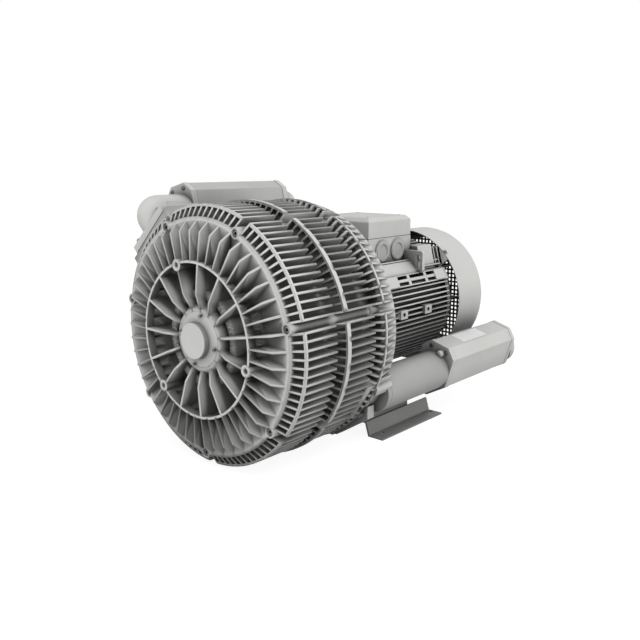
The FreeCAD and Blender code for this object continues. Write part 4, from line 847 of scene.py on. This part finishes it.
port_cutter = drum("port_cutter", PORT_X, PORT_Z, PORT_CUT_RADIUS, BOSS_LOW, BOSS_HIGH)
cut_away(port_cutter,
         drum("band_drum", 0, 0, BAND_TIP, BOSS_LOW - CUT_PAST, BOSS_HIGH + CUT_PAST))
rear = bpy.data.objects["rear_casing_dressed"]
before = len(rear.data.polygons)
cut_away(rear, port_cutter)
smooth_below(rear.data, SMOOTH_BELOW)
print("rear casing: faces before", before, "after", len(rear.data.polygons))

# %% [markdown]
# ## Closing the duct
# With the boss gone, the duct would lie open under the fins. A curved wall closes it, a short
# length of pipe reaches the flange, and the leg that passes there is drawn again.

# %% Pipe start, duct wall and leg
PIPE_RADIUS, PIPE_START, PIPE_CORNERS = 43.5, 300, 64
DUCT_OUTER, DUCT_INNER = 253, 242
DUCT_LOW, DUCT_HIGH, DUCT_STEPS = -47, -20.5, 16
DUCT_FROM, DUCT_TO = 262, 309
LEG_FROM, LEG_TO = 269.8, 291.2
LEG_WEB = [(208.2, -152), (208.2, -179.2), (126, -231.2), (110, -231.2), (151, -165)]
pipe_start = pushed("pipe_start", circle(PORT_X, PORT_Z, PIPE_RADIUS, PIPE_CORNERS), PIPE_START,
                    BOSS_HIGH, "sheet_paint")
pipe_start.data.materials[0] = special["right_pipe"]
duct_outline = (arc(DUCT_OUTER, DUCT_LOW, DUCT_HIGH, DUCT_STEPS)
                + arc(DUCT_INNER, DUCT_HIGH, DUCT_LOW, DUCT_STEPS))
pushed("duct_wall", duct_outline, DUCT_FROM, DUCT_TO, "casing_paint")
pushed("right_leg_web", LEG_WEB, LEG_FROM, LEG_TO, "casing_paint")
print("the pipe starts at station", PIPE_START)

# %% [markdown]
# ## Holes in the motor's side lugs
# Each square lug beside the motor has a round hole. A cutter is made along the shaft, brought to
# the origin, turned to lie across the machine and set into the lug.

# %% Lug holes
LUG_STATIONS = (466, 561)
LUG_REACH = 156
LUG_HOLE_RADIUS, LUG_HOLE_DEEP = 4.5, 24
across_at_origin = (Matrix.Rotation(-math.pi / 2, 4, "Z")
                    @ Matrix.Translation(-at_shaft(0, 0, 0)))
housing = bpy.data.objects["motor_housing_dressed"]
for station in LUG_STATIONS:
    for side in (1, -1):
        drill = drum("lug_drill", 0, 0, LUG_HOLE_RADIUS, 0, LUG_HOLE_DEEP)
        start = at_shaft(side * LUG_REACH - LUG_HOLE_DEEP / 2, station, 0)
        drill.data.transform(Matrix.Translation(start) @ across_at_origin)
        cut_away(housing, drill)
smooth_below(housing.data, SMOOTH_BELOW)
print(2 * len(LUG_STATIONS), "lug holes, faces of the housing:", len(housing.data.polygons))

# %% [markdown]
# ## A domed boss on the silencer's cap
# The cap in front of the right silencer carries a domed boss at its outer corner. It is turned up
# from rings like the screws, and then laid down so that it points to the front.

# %% The domed boss
DOME_ROWS = ((0.0085, 0), (0.0085, 0.009), (0.0074, 0.0118), (0.0043, 0.0134))
DOME_AT = (0.2176, 0.0236, 0.1751)
DOME_SMOOTH = 50
dome = bmesh.new()
capped(dome, [ring(dome, radius, height) for radius, height in DOME_ROWS])
dome.transform(Matrix.Translation(DOME_AT) @ Matrix.Rotation(math.pi / 2, 4, "X"))
dome_mesh = mesh_of(dome, "cap_boss")
smooth_below(dome_mesh, DOME_SMOOTH)
dome_mesh.materials.append(finishes["casing_paint"])
add_piece("cap_boss", dome_mesh, "root")
print("the boss stands out by", DOME_ROWS[-1][1], "m")

# %% [markdown]
# ## The sticker
# A white sticker lies on the sloping top face of the right silencer. It is a bare sheet, a little
# glossier than the paint, so a thin slab leaned to the face is enough.

# %% A bare sticker
FACE_FALL, FACE_RUN = 0.292, 0.956
STICKER_AT = (0.2130, 0.1510, 0.1953)
HALF_WIDE, HALF_LONG, STICKER_THICK = 0.0175, 0.053, 0.0003
sheet = bpy.data.meshes.new("sticker")
sheet.from_pydata([(x, y, z) for z in (0, STICKER_THICK) for x, y in (
    (-HALF_WIDE, -HALF_LONG), (HALF_WIDE, -HALF_LONG), (HALF_WIDE, HALF_LONG),
    (-HALF_WIDE, HALF_LONG))], [], [(3, 2, 1, 0), (4, 5, 6, 7), (0, 1, 5, 4), (1, 2, 6, 5),
                                    (2, 3, 7, 6), (3, 0, 4, 7)])
face_tilt = math.atan2(FACE_FALL, FACE_RUN)
sheet.transform(Matrix.Translation(STICKER_AT) @ Matrix.Rotation(face_tilt, 4, "Y"))
sheet.materials.append(finish_of("sticker", (0.86, 0.86, 0.86), (0.004, 0.05), (0.0003, 0.0),
                                 0.2, 0.3))
add_piece("sticker", sheet, "root")
print("sticker:", round(2000 * HALF_WIDE), "by", round(2000 * HALF_LONG), "mm")

# %% [markdown]
# ## The floor
# The floor must look white in the picture but must not throw extra light on the machine, so a
# little emission is added for camera and mirror rays only. The floor's own diffuse surface is
# grey and still shows the machine's shadow.


# %% A white floor that keeps its shadow
def seen_only(tree):
    """One where a ray comes straight from the camera or off a mirror, else nought."""
    path = place(tree, "ShaderNodeLightPath")
    seen = maths(tree, "MAXIMUM", path.outputs["Is Camera Ray"], path.outputs["Is Glossy Ray"])
    return maths(tree, "MAXIMUM", seen, path.outputs["Is Transmission Ray"])


FLOOR_HALF = 12.0
FLOOR_GREY = 0.28
FLOOR_GLOW = 0.9
floor_mesh = bpy.data.meshes.new("floor")
floor_mesh.from_pydata([(x * FLOOR_HALF, y * FLOOR_HALF, 0) for x, y in (
    (-1, -1), (1, -1), (1, 1), (-1, 1))], [], [(0, 1, 2, 3)])
floor = bpy.data.objects.new("floor", floor_mesh)
bpy.context.scene.collection.objects.link(floor)
floor_paint = bpy.data.materials.new("floor_white")
floor_paint.use_nodes = True
tree = floor_paint.node_tree
matt = tree.nodes["Principled BSDF"]
matt.inputs["Base Color"].default_value = (FLOOR_GREY, FLOOR_GREY, FLOOR_GREY, 1)
matt.inputs["Roughness"].default_value = 0.9
matt.inputs["Specular IOR Level"].default_value = 0.0
glow = place(tree, "ShaderNodeEmission", {
    "Strength": maths(tree, "MULTIPLY", seen_only(tree), FLOOR_GLOW)})
both = place(tree, "ShaderNodeAddShader")
tree.links.new(matt.outputs["BSDF"], both.inputs[0])
tree.links.new(glow.outputs["Emission"], both.inputs[1])
tree.links.new(both.outputs["Shader"], tree.nodes["Material Output"].inputs["Surface"])
floor_mesh.materials.append(floor_paint)
print("floor of", 2 * FLOOR_HALF, "m with a glow of", FLOOR_GLOW)

# %% [markdown]
# ## World and lamps
# A white world lights all sides softly, and it looks fully white only to the camera and in
# mirrors. A key lamp from the upper right models the fins, a side lamp lifts the motor, and a low
# fill lamp from the front left reaches into the cover.

# %% Soft light
WORLD_LIGHT = 0.46
world = bpy.data.worlds.new("studio")
bpy.context.scene.world = world
world.use_nodes = True
background = world.node_tree.nodes["Background"]
strength = remap(world.node_tree, seen_only(world.node_tree), 0, 1, WORLD_LIGHT, 1.0)
world.node_tree.links.new(strength, background.inputs["Strength"])
background.inputs["Color"].default_value = (1, 1, 1, 1)

LAMP_SIZE = 1.2
LAMPS_AIM = Vector((0, 0, 0.25))


def lamp(name, at, power):
    """A square soft box that looks at the machine."""
    light = bpy.data.lights.new(name, "AREA")
    light.shape = "SQUARE"
    light.size = LAMP_SIZE
    light.energy = power
    holder = bpy.data.objects.new(name, light)
    holder.location = at
    holder.rotation_euler = (LAMPS_AIM - Vector(at)).to_track_quat("-Z", "Y").to_euler()
    bpy.context.scene.collection.objects.link(holder)


lamp("key_light", (1.9, -1.6, 2.2), power=36)
lamp("side_light", (2.6, 0.2, 0.9), power=16)
lamp("fill_light", (-0.6, -2.8, 0.1), power=31)
bpy.context.scene.view_settings.view_transform = "Standard"
